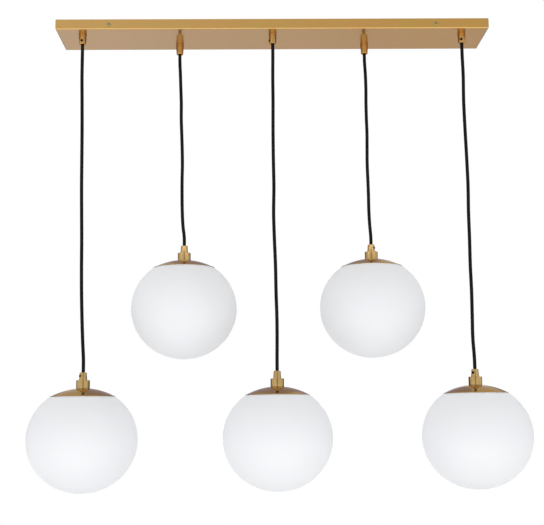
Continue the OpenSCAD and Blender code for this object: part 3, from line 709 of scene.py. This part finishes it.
def lead_route(x, y, lane):
    """A lead rises from its rod, bends over, drops to the floor and runs in its lane to the block."""
    side = 1 if x < BLOCK_X else -1
    out = Vector((side * LEAD_RUN, lane - y, 0)).normalized()
    foot, top = UPPER_ROD_TOP, UPPER_ROD_TOP + 6
    heights = [(0, foot + 0.5), (0, foot + 2.5), (1.2, foot + 4.7), (4, top), (9, top - 0.6),
        (16, (top + LEAD_FLOOR_Z) / 2), (23, LEAD_FLOOR_Z + 0.8), (30, LEAD_FLOOR_Z)]
    points = [Vector((x, y, z)) + out * far for far, z in heights]
    face = BLOCK_X - side * BLOCK_W / 2
    points += [(x + side * LEAD_RUN, lane, LEAD_FLOOR_Z), (face - side * 6, lane, PORT_Z),
        (face + side * PORT_DEPTH, lane, PORT_Z)]
    return [Vector((p.x, p.y, max(p.z, LEAD_FLOOR_Z))) for p in smooth_route(points, LEAD_STEP)]


wiring = []
for x, y, lane in zip(HANG_X, HANG_Y, LANES):
    stub = [(x, y, z) for z in (GRIP_MOUTH_Z + 2.4, UPPER_ROD_TOP + 1)]
    wiring.append(swept("sheath", stub, CORD_D, 24, black_cord))
    wiring.append(swept("sleeve", lead_route(x, y, lane), LEAD_D, 20, woven_sleeve))
earth_line = [(x, 0, PORT_Z) for x in (BLOCK_X + BLOCK_W / 2 - PORT_DEPTH, EARTH_BACK + 0.8)]
wiring.append(swept("earth_core", earth_line, CORE_D, 20, earth_green))


def push_on():
    """The push-on terminal: a flat box rolled from nickel plated brass, open towards the riser of the tab."""
    bm = bmesh.new()
    outer, inner, mouth = (3.75, 1.0), (3.2, 0.45), EARTH_X - PUSH_ON_GAP
    rows = []
    for x, (u, v) in ((EARTH_BACK, outer), (mouth, outer), (mouth, inner), (EARTH_BACK + PUSH_ON_WALL, inner)):
        corners = soften([(u, v, 0.4), (-u, v, 0.4), (-u, -v, 0.4), (u, -v, 0.4)])
        rows.append([bm.verts.new((x, y, PORT_Z + z)) for y, z in corners])
    skin(bm, rows)
    return to_piece("push_on", bm, nickel)


wiring.append(push_on())
fasten(merged("tray_wiring", wiring), "canopy_leads")

# The terminal block is moulded from pale plastic, with grooves between its three ways and a slotted clamp
# screw down each of six wells. Beside it a folded steel blade, welded to the tray floor, takes the earth core.
WELL_R, WELL_DEPTH, BLOCK_TOP = 1.8, 5, TRAY_FLOOR_Z + BLOCK_H
GROOVE, GROOVE_DEPTH, CLAMP_R, CLAMP_H = 0.6, 2.5, 1.65, 1.2


def block_shell():
    half_w, half_l, low, high = BLOCK_W / 2, BLOCK_L / 2, TRAY_FLOOR_Z, BLOCK_TOP
    top = [(half_l, high, 0.6)]
    for y in (PORT_PITCH / 2, -PORT_PITCH / 2):
        a, b, foot = y + GROOVE, y - GROOVE, high - GROOVE_DEPTH
        top += [(a, high, 0.3), (a, foot, 0.3), (b, foot, 0.3), (b, high, 0.3)]
    top += [(-half_l, high, 0.6), (-half_l, low, 0.2), (half_l, low, 0.2)]
    return extruded("block", soften(top), BLOCK_X - half_w, BLOCK_X + half_w, 0.15, lambda u, v, w: (w, u, v),
        block_plastic)


ways = [-PORT_PITCH, 0, PORT_PITCH]
ports = round_bars([(BLOCK_X + side * BLOCK_W / 2, y, PORT_Z) for y in ways for side in (-1, 1)],
    LEAD_D / 2 + 0.2, 2 * PORT_DEPTH, Euler((0, pi / 2, 0)))
wells = [(BLOCK_X + x, y, BLOCK_TOP) for y in ways for x in (-BLOCK_W / 4, BLOCK_W / 4)]
block = carve(block_shell(), ports, round_bars(wells, WELL_R, 2 * WELL_DEPTH))
clamp_outline = soften([(0, CLAMP_H), (CLAMP_R, CLAMP_H, 0.2), (CLAMP_R, -0.05), (0, -0.05)])
driver = bmesh.new()
slot_size = Matrix.Diagonal((4, 0.5, 1, 1))
bmesh.ops.create_cube(driver, size=1, matrix=Matrix.Translation((0, 0, CLAMP_H)) @ slot_size)
slotted = carve(lathe("clamp_screw", clamp_outline, 32, plain_brass), to_piece("driver_tool", driver))
clamps = repeated("clamp_screws", slotted, [(x, y, z - WELL_DEPTH) for x, y, z in wells],
    [(0, 0, a) for a in (0.4, 1.9, 1.1, 2.6, 0.8, 1.5)])
fasten(merged("connector_block", [block, clamps]), "terminal_block")

blade_low, blade_high = PORT_UP - BLADE_T / 2, PORT_UP + BLADE_T / 2
tab_outline = soften([(0, 0), (BLADE_L, 0), (BLADE_L, BLADE_T), (BLADE_T, BLADE_T, 0.3), (BLADE_T, blade_high, 0.8),
    (-BLADE_L, blade_high), (-BLADE_L, blade_low), (0, blade_low, 0.3)])
tab = extruded("earth_blade", tab_outline, -BLADE_W / 2, BLADE_W / 2, 0.1,
    lambda u, v, w: (EARTH_X + u, w, TRAY_FLOOR_Z + v), zinc_plate)
fasten(tab, "earth_tab")

# Each pendant head starts with a turned brass grip on the cord, wide end down, with its own grub screw.
# It is screwed to the threaded rod that holds the whole head together. Its brass is a little paler.
LOWER_GRIP_L, LOWER_GRIP_WIDE, LOWER_GRIP_MOUTH, LOWER_GRUB_DOWN = 13.5, 14, 12.4, 6.2
LOWER_GRUB_TURNS = [-50, 190, 170, 56, -42]
pale_brass = metal_finish("pale_brass", (0.45, 0.30, 0.12), (0.51, 0.345, 0.145), (0.16, 0.24),
    ring_pitch=0.0002, ring_depth=0.0000015, Specular_Tint=(0.8, 0.75, 0.65, 1))


def hang_copies(template, name, stands_for, turns=(0, 0, 0, 0, 0), body="pendant_head"):
    """A copy of a template piece on each of the five pendants, turned as given, each on its own body."""
    for i, turn in enumerate(turns):
        mesh = template.data.copy()
        mesh.transform(Matrix.Translation(head_places[i] * MM) @ Matrix.Rotation(radians(turn), 4, "Z"))
        fasten(linked(f"{name}_{i + 1}", mesh), f"{stands_for}_{i + 1}", f"{body}_{i + 1}")
    bpy.data.objects.remove(template)


lower_sizes = (LOWER_GRIP_L, LOWER_GRIP_WIDE, LOWER_GRIP_MOUTH, LOWER_GRUB_DOWN, -1)
hang_copies(grip(*lower_sizes, pale_brass), "pendant_grip", "lower_grip",
    LOWER_GRUB_TURNS)
hang_copies(grub_screw(*lower_sizes), "pendant_grub_screw", "lower_set_screw",
    LOWER_GRUB_TURNS)

# Under the grip sits a small drawn brass cup, open below, with a softly rounded top edge. It spaces the grip
# from the cap and hides the threaded rod.
CUP_TOP, CUP_R, CUP_H, CUP_WALL = -LOWER_GRIP_L, 12, 14.5, 1.2
CUP_FOOT, CUP_IN_R, CUP_IN_TOP = CUP_TOP - CUP_H, CUP_R - CUP_WALL, CUP_TOP - CUP_WALL
cup_outline = [(ROD_HOLE_R, CUP_TOP, 0.2), (CUP_R, CUP_TOP, 0.9), (CUP_R, CUP_FOOT, 0.15), (CUP_IN_R, CUP_FOOT, 0.15),
    (CUP_IN_R, CUP_IN_TOP, 0.4), (ROD_HOLE_R, CUP_IN_TOP, 0.1)]
cup = lathe("cup", soften(cup_outline, 6), 96, pale_brass)
hang_copies(cup, "pendant_cup", "fitter_cup")

# The skull cap is spun from 1 mm brass and polished, with a beaded rim. Inside it a collar with a lip carries
# the glass: three gaps in the lip let the lugs of the glass through.
CAP_RIM_R, CAP_RISE, CAP_T, COLLAR_R, COLLAR_WALL, LIP_T, BEAD_R = 57, 15.2, 1.0, 43.6, 1.2, 1.2, 0.48
SEAT_GAP, LUG_T, LUG_ANGLE, TURN_ANGLE, NECK_R, GLASS_T = 0.3, 2, 24, 60, 41.3, 3
CAP_BALL_R = (CAP_RIM_R**2 + CAP_RISE**2) / (2 * CAP_RISE)
CAP_BALL_Z = CUP_FOOT - sqrt(CAP_BALL_R**2 - CUP_IN_R**2)
CAP_RIM_Z = CAP_BALL_Z + CAP_BALL_R - CAP_RISE


def cap_arc(ball_r, start, end, count):
    """Points (r, z) on one face of the cap, from one radius to another."""
    radii = (start + (end - start) * k / count for k in range(count + 1))
    return [(r, CAP_BALL_Z + sqrt(ball_r**2 - r**2)) for r in radii]


def under_cap(r):
    """The height of the cap's inner face at a radius."""
    return cap_arc(CAP_BALL_R - CAP_T, r, r, 1)[0][1]


LUG_R = COLLAR_R - SEAT_GAP
LUG_TOP = under_cap(LUG_R) - SEAT_GAP
LIP_TOP = LUG_TOP - LUG_T - SEAT_GAP
LIP_FOOT, LIP_R = LIP_TOP - LIP_T, NECK_R + SEAT_GAP


def cap_outline():
    """The cap in section, clockwise from its hole: outer face, bead, inner face, collar and lip."""
    outer = cap_arc(CAP_BALL_R, ROD_HOLE_R, CAP_RIM_R - 1.1, 36)
    centre = Vector((CAP_RIM_R - BEAD_R, CAP_RIM_Z + BEAD_R))
    bead = [centre + BEAD_R * Vector((cos(a), sin(a))) for a in (radians(100 - 25 * k) for k in range(9))]
    outside = COLLAR_R + COLLAR_WALL
    under = cap_arc(CAP_BALL_R - CAP_T, CAP_RIM_R - 2.2, outside, 10)
    collar = soften([under[-1], (outside, LIP_FOOT, 0.2), (LIP_R, LIP_FOOT, 0.2), (LIP_R, LIP_TOP, 0.2),
        (COLLAR_R, LIP_TOP)])
    dome = cap_arc(CAP_BALL_R - CAP_T, COLLAR_R, ROD_HOLE_R, 24)
    return [tuple(p) for p in outer + bead + under[:-1] + collar + dome]


def ring_slices(outer_r, inner_r, low, high, angle, middle):
    """Three slices of a ring, a third of a turn apart."""
    bm = bmesh.new()
    for third in range(3):
        turns = (radians(middle + 120 * third + angle * (k / 8 - 0.5)) for k in range(9))
        skin(bm, [[bm.verts.new((r * cos(a), r * sin(a), z))
            for r, z in ((inner_r, low), (outer_r, low), (outer_r, high), (inner_r, high))] for a in turns])
    return bm


polished_brass = metal_finish("polished_brass", (0.43, 0.255, 0.062), (0.48, 0.29, 0.075), (0.16, 0.22),
    ring_pitch=0.0006, ring_depth=0.000002, Specular_Tint=(0.75, 0.6, 0.45, 1), Coat_Weight=0.7, Coat_Roughness=0.04)
gaps = ring_slices(COLLAR_R + 0.2, LIP_R - 1, LIP_FOOT - 1, LIP_TOP + 1, LUG_ANGLE + 4, TURN_ANGLE)
cap = carve(lathe("cap", cap_outline(), 144, polished_brass), to_piece("gap_tool", gaps))
hang_copies(cap, "spun_cap", "dome_cap")

# A hollow threaded rod ties grip, cup, cap and lampholder together. The black sheath ends inside it and the
# two cores of the cord go on to the holder.
BOSS_R, BOSS_H, HOLDER_R, HOLDER_H = 8, 5, 11.5, 26
BOSS_TOP = under_cap(BOSS_R)
BOSS_FOOT = BOSS_TOP - BOSS_H
HOLDER_FOOT = BOSS_FOOT - HOLDER_H
head_rod = hollow_rod(BOSS_FOOT + SEAT_GAP, -LOWER_GRUB_DOWN - GRUB_R - 1)
hang_copies(head_rod, "pendant_rod", "holder_nipple")

core_brown = plastic_finish("brown_core", (0.09, 0.035, 0.015), (0.13, 0.05, 0.022), (0.35, 0.45))
core_blue = plastic_finish("blue_core", (0.02, 0.09, 0.30), (0.03, 0.12, 0.38), (0.35, 0.45))
parts = [swept("sheath", [(0, 0, -2.4), (0, 0, CUP_TOP)], CORD_D, 24, black_cord)]
for side, colour in ((-1, core_brown), (1, core_blue)):
    parts.append(swept("core", [(side * CORD_D / 4, 0, z) for z in (CUP_TOP + 1, BOSS_FOOT)], CORE_D, 16, colour))
hang_copies(merged("clamped_end", parts), "clamped_end", "cord_end")

# The lampholder is glazed ceramic, screwed up on the rod against the cap. It has two holes for the lamp's
# pins in its foot and a groove for the fingers around its body.
PIN_X, PIN_R, PIN_L = 4.5, 1.2, 9
FINGER_Z, FINGER_R, HOLDER_BORE_R = HOLDER_FOOT + 9, HOLDER_R - 0.8, ROD_R + 0.05
ceramic = plastic_finish("glazed_ceramic", (0.80, 0.78, 0.72), (0.86, 0.845, 0.80), (0.12, 0.2), Coat_Weight=0.5,
    Coat_Roughness=0.06)
holder_outline = [(HOLDER_BORE_R, BOSS_TOP, 0.2), (BOSS_R, BOSS_TOP, 0.5), (BOSS_R, BOSS_FOOT, 0.6),
    (HOLDER_R, BOSS_FOOT, 1.5), (HOLDER_R, FINGER_Z + 2, 0.5), (FINGER_R, FINGER_Z + 1.2, 0.5),
    (FINGER_R, FINGER_Z - 1.2, 0.5), (HOLDER_R, FINGER_Z - 2, 0.5), (HOLDER_R, HOLDER_FOOT, 0.8), (0, HOLDER_FOOT),
    (0, BOSS_FOOT), (HOLDER_BORE_R, BOSS_FOOT)]
pin_holes = round_bars([(side * PIN_X, 0, HOLDER_FOOT) for side in (-1, 1)], PIN_R + 0.1, 2 * (PIN_L + SEAT_GAP),
    sides=24)
hang_copies(carve(lathe("holder", soften(holder_outline, 5), 72, ceramic), pin_holes), "ceramic_holder",
    "lampholder")

# The lamp is a small two pin capsule: a ceramic base, a frosted shell and two looped pins that push up into
# the holder.
LAMP_L, LAMP_R, LAMP_BASE_R, LAMP_WAIST_R, LAMP_NECK_R, PIN_WIRE = 48, 8, 7.2, 6.7, 6.8, 1.1
LAMP_TOP = HOLDER_FOOT - SEAT_GAP
BASE_FOOT, SHELL_TOP = LAMP_TOP - LAMP_L / 4, LAMP_TOP - LAMP_L / 8
frosted = plastic_finish("frosted_lamp", (0.84, 0.83, 0.78), (0.90, 0.89, 0.85), (0.35, 0.45), Subsurface_Weight=0.3,
    Subsurface_Scale=0.004)
base = soften([(0, LAMP_TOP), (LAMP_BASE_R, LAMP_TOP, 0.6), (LAMP_BASE_R, BASE_FOOT + 4, 0.4),
    (LAMP_WAIST_R, BASE_FOOT + 3.2), (LAMP_WAIST_R, BASE_FOOT), (0, BASE_FOOT)])
tip = [(LAMP_R * cos(a), LAMP_TOP - LAMP_L + LAMP_R + LAMP_R * sin(a))
    for a in (radians(-90 + 7.5 * k) for k in range(13))]
neck = soften([(LAMP_R, SHELL_TOP - 1.5, 0.8), (LAMP_NECK_R, SHELL_TOP, 0.4), (LAMP_NECK_R, SHELL_TOP - 3),
    (0, SHELL_TOP - 3)])
lamp = [lathe("base", base, 48, ceramic), lathe("shell", tip + [tuple(p) for p in neck], 48, frosted)]
loop = [(-0.6, -1), (-0.6, PIN_L - 2), (-0.42, PIN_L - 1.2), (0, PIN_L - 0.95), (0.42, PIN_L - 1.2), (0.6, PIN_L - 2),
    (0.6, -1)]
for side in (-1, 1):
    line = smooth_route([(side * PIN_X + x, 0, LAMP_TOP + z) for x, z in loop], 0.6)
    lamp.append(swept("pin", line, PIN_WIRE, 10, nickel))
hang_copies(merged("lamp", lamp), "capsule_lamp", "bulb", body="lamp")

# The globe is blown opal glass, 194 mm wide and a little flatter than a ball, with a satin skin. A short neck
# with three lugs stands on its flat shoulder and turns into the collar of the cap.
GLOBE_A, GLOBE_B = 97, 92.5
SHOULDER_Z = CAP_RIM_Z - SEAT_GAP
GLOBE_Z = SHOULDER_Z - GLOBE_B * sqrt(1 - (CAP_RIM_R / GLOBE_A) ** 2)


def opal_finish():
    """Opal glass with an etched skin: milky, with some light scattered under the surface, and no mirror gloss."""
    made, tree = finish("opal_glass", IOR=1.45, Subsurface_Weight=0.25, Subsurface_Scale=0.01,
        Subsurface_Radius=(1.0, 0.95, 0.9), Specular_IOR_Level=0.3)
    return dress(made, grain(tree, 7, 2), (0.875, 0.885, 0.905), (0.895, 0.905, 0.925), grain(tree, 2600, 2),
        (0.5, 0.6), 0.000012)


def globe_tree():
    """A hollow oval of revolution, cut off at its shoulder, around the neck's own section. The ovals
    follow x = a cos t, z = b sin t; the whole section is then turned about the axis."""
    tree, given = geometry_tree("blown_globe", [("Half width", "Float"), ("Half height", "Float"), ("Wall", "Float"),
        ("Shoulder", "Float"), ("Steps", "Int"), ("Sides", "Int")])
    lines = [given["Geometry"]]
    count = maths(tree, "ADD", given["Steps"], 1.0)
    index = first(tree, "InputIndex")
    for wall in (0.0, 1.0):
        thick = maths(tree, "MULTIPLY", given["Wall"], wall)
        a, b, top = (maths(tree, "SUBTRACT", given[size], thick)
            for size in ("Half width", "Half height", "Shoulder"))
        high = maths(tree, "ARCSINE", maths(tree, "DIVIDE", top, b))
        sweep = maths(tree, "DIVIDE", maths(tree, "ADD", high, pi / 2), given["Steps"])
        angle = maths(tree, "SUBTRACT", maths(tree, "MULTIPLY", index, sweep), pi / 2)
        r = maths(tree, "MULTIPLY", maths(tree, "COSINE", angle), a)
        z = maths(tree, "MULTIPLY", maths(tree, "SINE", angle), maths(tree, "MULTIPLY", b, -1.0))
        place = first(tree, "CombineXYZ", {"X": r, "Y": z})
        row = first(tree, "MeshLine", {"Count": count})
        lines.append(first(tree, "SetPosition", {"Geometry": row, "Position": place}))
    joined = node(tree, "JoinGeometry")
    for line in reversed(lines):
        tree.links.new(line, joined.inputs[0])
    section = chain(tree, joined.outputs[0], ("MergeByDistance", ("Distance", 0.00002)), ("MeshToCurve",))
    axis = first(tree, "CurvePrimitiveCircle", {"Resolution": given["Sides"], "Radius": 0.00001})
    glass = chain(tree, axis, ("CurveToMesh", ("Profile Curve", section)), ("MergeByDistance", ("Distance", 0.00003)),
        ("FlipFaces",), ("SetShadeSmooth",))
    return end_tree(tree, glass, given["Material"])


opal_glass = opal_finish()
shoulder, neck_high = SHOULDER_Z - GLOBE_Z, under_cap(NECK_R) - SEAT_GAP - GLOBE_Z
inner_r = (GLOBE_A - GLASS_T) * sqrt(1 - ((shoulder - GLASS_T) / (GLOBE_B - GLASS_T)) ** 2)
neck_in_r = NECK_R - GLASS_T
neck_line = soften([(CAP_RIM_R, shoulder), (NECK_R, shoulder, 0.6), (NECK_R, neck_high, 1.2),
    (neck_in_r, neck_high, 1.2), (neck_in_r, shoulder - GLASS_T, 1.5), (inner_r, shoulder - GLASS_T)], 6)
glass = run_tree(wire("glass", [(r, -z, 0) for r, z in neck_line]), globe_tree(),
    {"Half width": GLOBE_A * MM, "Half height": GLOBE_B * MM, "Wall": GLASS_T * MM, "Shoulder": shoulder * MM,
    "Steps": 60, "Sides": 144, "Material": opal_glass})
glass.data.transform(Matrix.Translation((0, 0, GLOBE_Z * MM)))
lugs = ring_slices(LUG_R, NECK_R - 1, LUG_TOP - LUG_T, LUG_TOP, LUG_ANGLE, 0)
bmesh.ops.bevel(lugs, geom=lugs.edges[:], offset=0.4, segments=3, affect="EDGES")
globe = merged("glass", [glass, to_piece("lugs", lugs, opal_glass)])
hang_copies(globe, "opal_globe", "glass_globe", body="globe")

# The studio: a plain pale floor far below and white all round, with a weak soft lamp at each side and a wide one
# below. The cards only show in the brass: they give it its dark edges, its bright bend and its warm right end.
FLOOR_Z, FLOOR_HALF = -1.55, 4


def is_seen(tree):
    """1 for camera, glossy and transmission rays, which show the white background."""
    path = node(tree, "LightPath").outputs
    seen = maths(tree, "MAXIMUM", path["Is Camera Ray"], path["Is Glossy Ray"])
    return maths(tree, "MAXIMUM", seen, path["Is Transmission Ray"])


def bare_tree(holder):
    """The node tree of a world or material, emptied."""
    holder.use_nodes = True
    holder.node_tree.nodes.clear()
    return holder.node_tree


def white_studio():
    """White to the camera and in mirrors. Its light on the object is a little stronger from below."""
    world = bpy.data.worlds.new("white_studio")
    tree = bare_tree(world)
    direction = node(tree, "TexCoord").outputs["Generated"]
    slope = node(tree, "VectorMath", {0: direction, 1: (-0.02, -0.03, -0.07)}, operation="DOT_PRODUCT")
    lit = maths(tree, "ADD", slope.outputs["Value"], 0.915)
    ambient = first(tree, "Background", {"Color": (0.99, 0.995, 1, 1), "Strength": lit})
    white = first(tree, "Background", {"Color": (1, 1, 1, 1), "Strength": 1.0})
    mix = first(tree, "MixShader", {0: is_seen(tree), 1: ambient, 2: white})
    node(tree, "OutputWorld", {"Surface": mix})
    return world


bpy.context.scene.world = white_studio()


def lamp_panel(name, place, target, size, watts):
    """A soft lamp that neither the camera nor the brass sees."""
    data = bpy.data.lights.new(name, "AREA")
    data.shape = "RECTANGLE"
    data.size, data.size_y = size
    data.energy = watts
    panel = linked(name, data)
    panel.location = place
    panel.rotation_euler = (Vector(target) - Vector(place)).to_track_quat("-Z", "Y").to_euler()
    panel.visible_camera = panel.visible_glossy = False


lamp_panel("left_lamp", (-1.6, -1.6, -0.4), (0, 0, -0.7), (1.0, 1.5), 2.0)
lamp_panel("right_lamp", (1.6, -1.2, -0.6), (-0.2, 0, -0.7), (1.0, 1.5), 1.4)
lamp_panel("low_lamp", (-0.1, -0.45, -1.5), (-0.1, -0.1, -0.6), (2.8, 2.0), 10)


def flat_sheet(name, corners, material):
    mesh = bpy.data.meshes.new(name)
    mesh.from_pydata(corners, [], [range(len(corners))])
    mesh.materials.append(material)
    sheet = linked(name, mesh)
    return sheet


def floor_finish():
    """Pale matt floor: white to the camera, in shade under the object, and clear from below."""
    made = bpy.data.materials.new("pale_floor")
    tree = bare_tree(made)
    cloud = between(tree, grain(tree, 3, 2), (0.80, 0.80, 0.80), (0.84, 0.84, 0.84))
    matt = first(tree, "BsdfDiffuse", {"Color": cloud})
    glow = first(tree, "Emission", {"Color": (1, 1, 1, 1), "Strength": 0.30})
    nothing = first(tree, "Emission", {"Strength": 0.0})
    seen_glow = first(tree, "MixShader", {0: is_seen(tree), 1: nothing, 2: glow})
    both = first(tree, "AddShader", {0: matt, 1: seen_glow})
    back = node(tree, "NewGeometry").outputs["Backfacing"]
    sides = first(tree, "MixShader", {0: back, 1: both, 2: first(tree, "BsdfTransparent")})
    node(tree, "OutputMaterial", {"Surface": sides})
    return made


flat_sheet("floor", [(x * FLOOR_HALF, y * FLOOR_HALF, FLOOR_Z) for x, y in ((-1, -1), (1, -1), (1, 1), (-1, 1))],
    floor_finish())


def card_finish(name, left, right, glow=1.0):
    """A lit card, from one tone at the left to another at the right, with a faint mottle."""
    made, tree = finish(name, Roughness=1.0, Specular_IOR_Level=0.0, Emission_Strength=glow)
    x = node(tree, "SeparateXYZ", {"Vector": own_place(tree)}).outputs["X"]
    across = maths(tree, "MULTIPLY_ADD", grain(tree, 3), 0.1, x)
    share = first(tree, "MapRange", {"Value": across, "From Min": -0.8, "From Max": 0.8})
    tone = between(tree, share, left, right, 0, 1)
    tree.links.new(tone, tree.nodes["Principled BSDF"].inputs["Emission Color"])
    return dress(made, grain(tree, 9), (0.0, 0.0, 0.0), (0.01, 0.01, 0.01))


def upright_card(name, left_end, right_end, low, high, material):
    """A card that stands between two places on the floor plan."""
    return flat_sheet(name, [(*left_end, low), (*right_end, low), (*right_end, high), (*left_end, high)], material)


def leaning_card(name, half, front, back, material):
    """A card as wide to the left as to the right, from its front edge (y, z) to its back edge."""
    return flat_sheet(name, [(-half, *front), (half, *front), (half, *back), (-half, *back)], material)


dark_card = card_finish("dark_card", (0.04, 0.04, 0.04), (0.04, 0.04, 0.04))
grey_card = card_finish("grey_card", (0.25, 0.25, 0.25), (0.25, 0.25, 0.25))
dusk_card = card_finish("dusk_card", (0.42, 0.40, 0.50), (0.42, 0.40, 0.50))
cream_card = card_finish("cream_card", (0.70, 0.69, 0.68), (0.72, 0.68, 0.62))
warm_card = card_finish("warm_card", (1.0, 1.0, 1.0), (0.82, 0.72, 0.62))
bright_card = card_finish("bright_card", (1.0, 1.0, 1.0), (1.0, 0.95, 0.9), 2.0)
cards = [upright_card(*row) for row in (
    ("camera_card", (-0.34, -2.3), (0.34, -2.3), -1.0, 0.3, grey_card),
    ("left_card", (-1.75, 0.75), (-1.05, 2.5), -1.0, -0.45, dark_card),
    ("right_card", (1.75, 0.75), (1.05, 2.5), -1.0, -0.45, dark_card),
    ("upper_left_card", (-1.75, 0.75), (-1.05, 2.5), -0.45, 0.25, grey_card),
    ("upper_right_card", (1.75, 0.75), (1.05, 2.5), -0.45, 0.25, grey_card),
    ("middle_card", (-0.7, 2.55), (0.7, 2.55), -0.7, 4.0, dusk_card),
    ("left_sky_card", (-2.6, 2.6), (-0.7, 2.6), 0.0, 4.0, cream_card),
    ("right_sky_card", (0.7, 2.6), (2.6, 2.6), 0.0, 4.0, cream_card),
    ("back_card", (-2.6, 2.7), (2.6, 2.7), -1.5, -0.7, warm_card),
    ("front_card", (-2.6, -2.4), (2.6, -2.4), 0.35, 1.8, warm_card),
)]
cards.append(leaning_card("bend_card", 1.2, (-0.6, -0.12), (-0.5, -0.27), bright_card))
cards.append(leaning_card("low_card", 1.6, (-1.7, -0.95), (-0.4, -1.3), bright_card))
for card in cards:
    card.visible_camera = card.visible_diffuse = card.visible_transmission = card.visible_shadow = False

bpy.context.scene.view_settings.view_transform = "Standard"
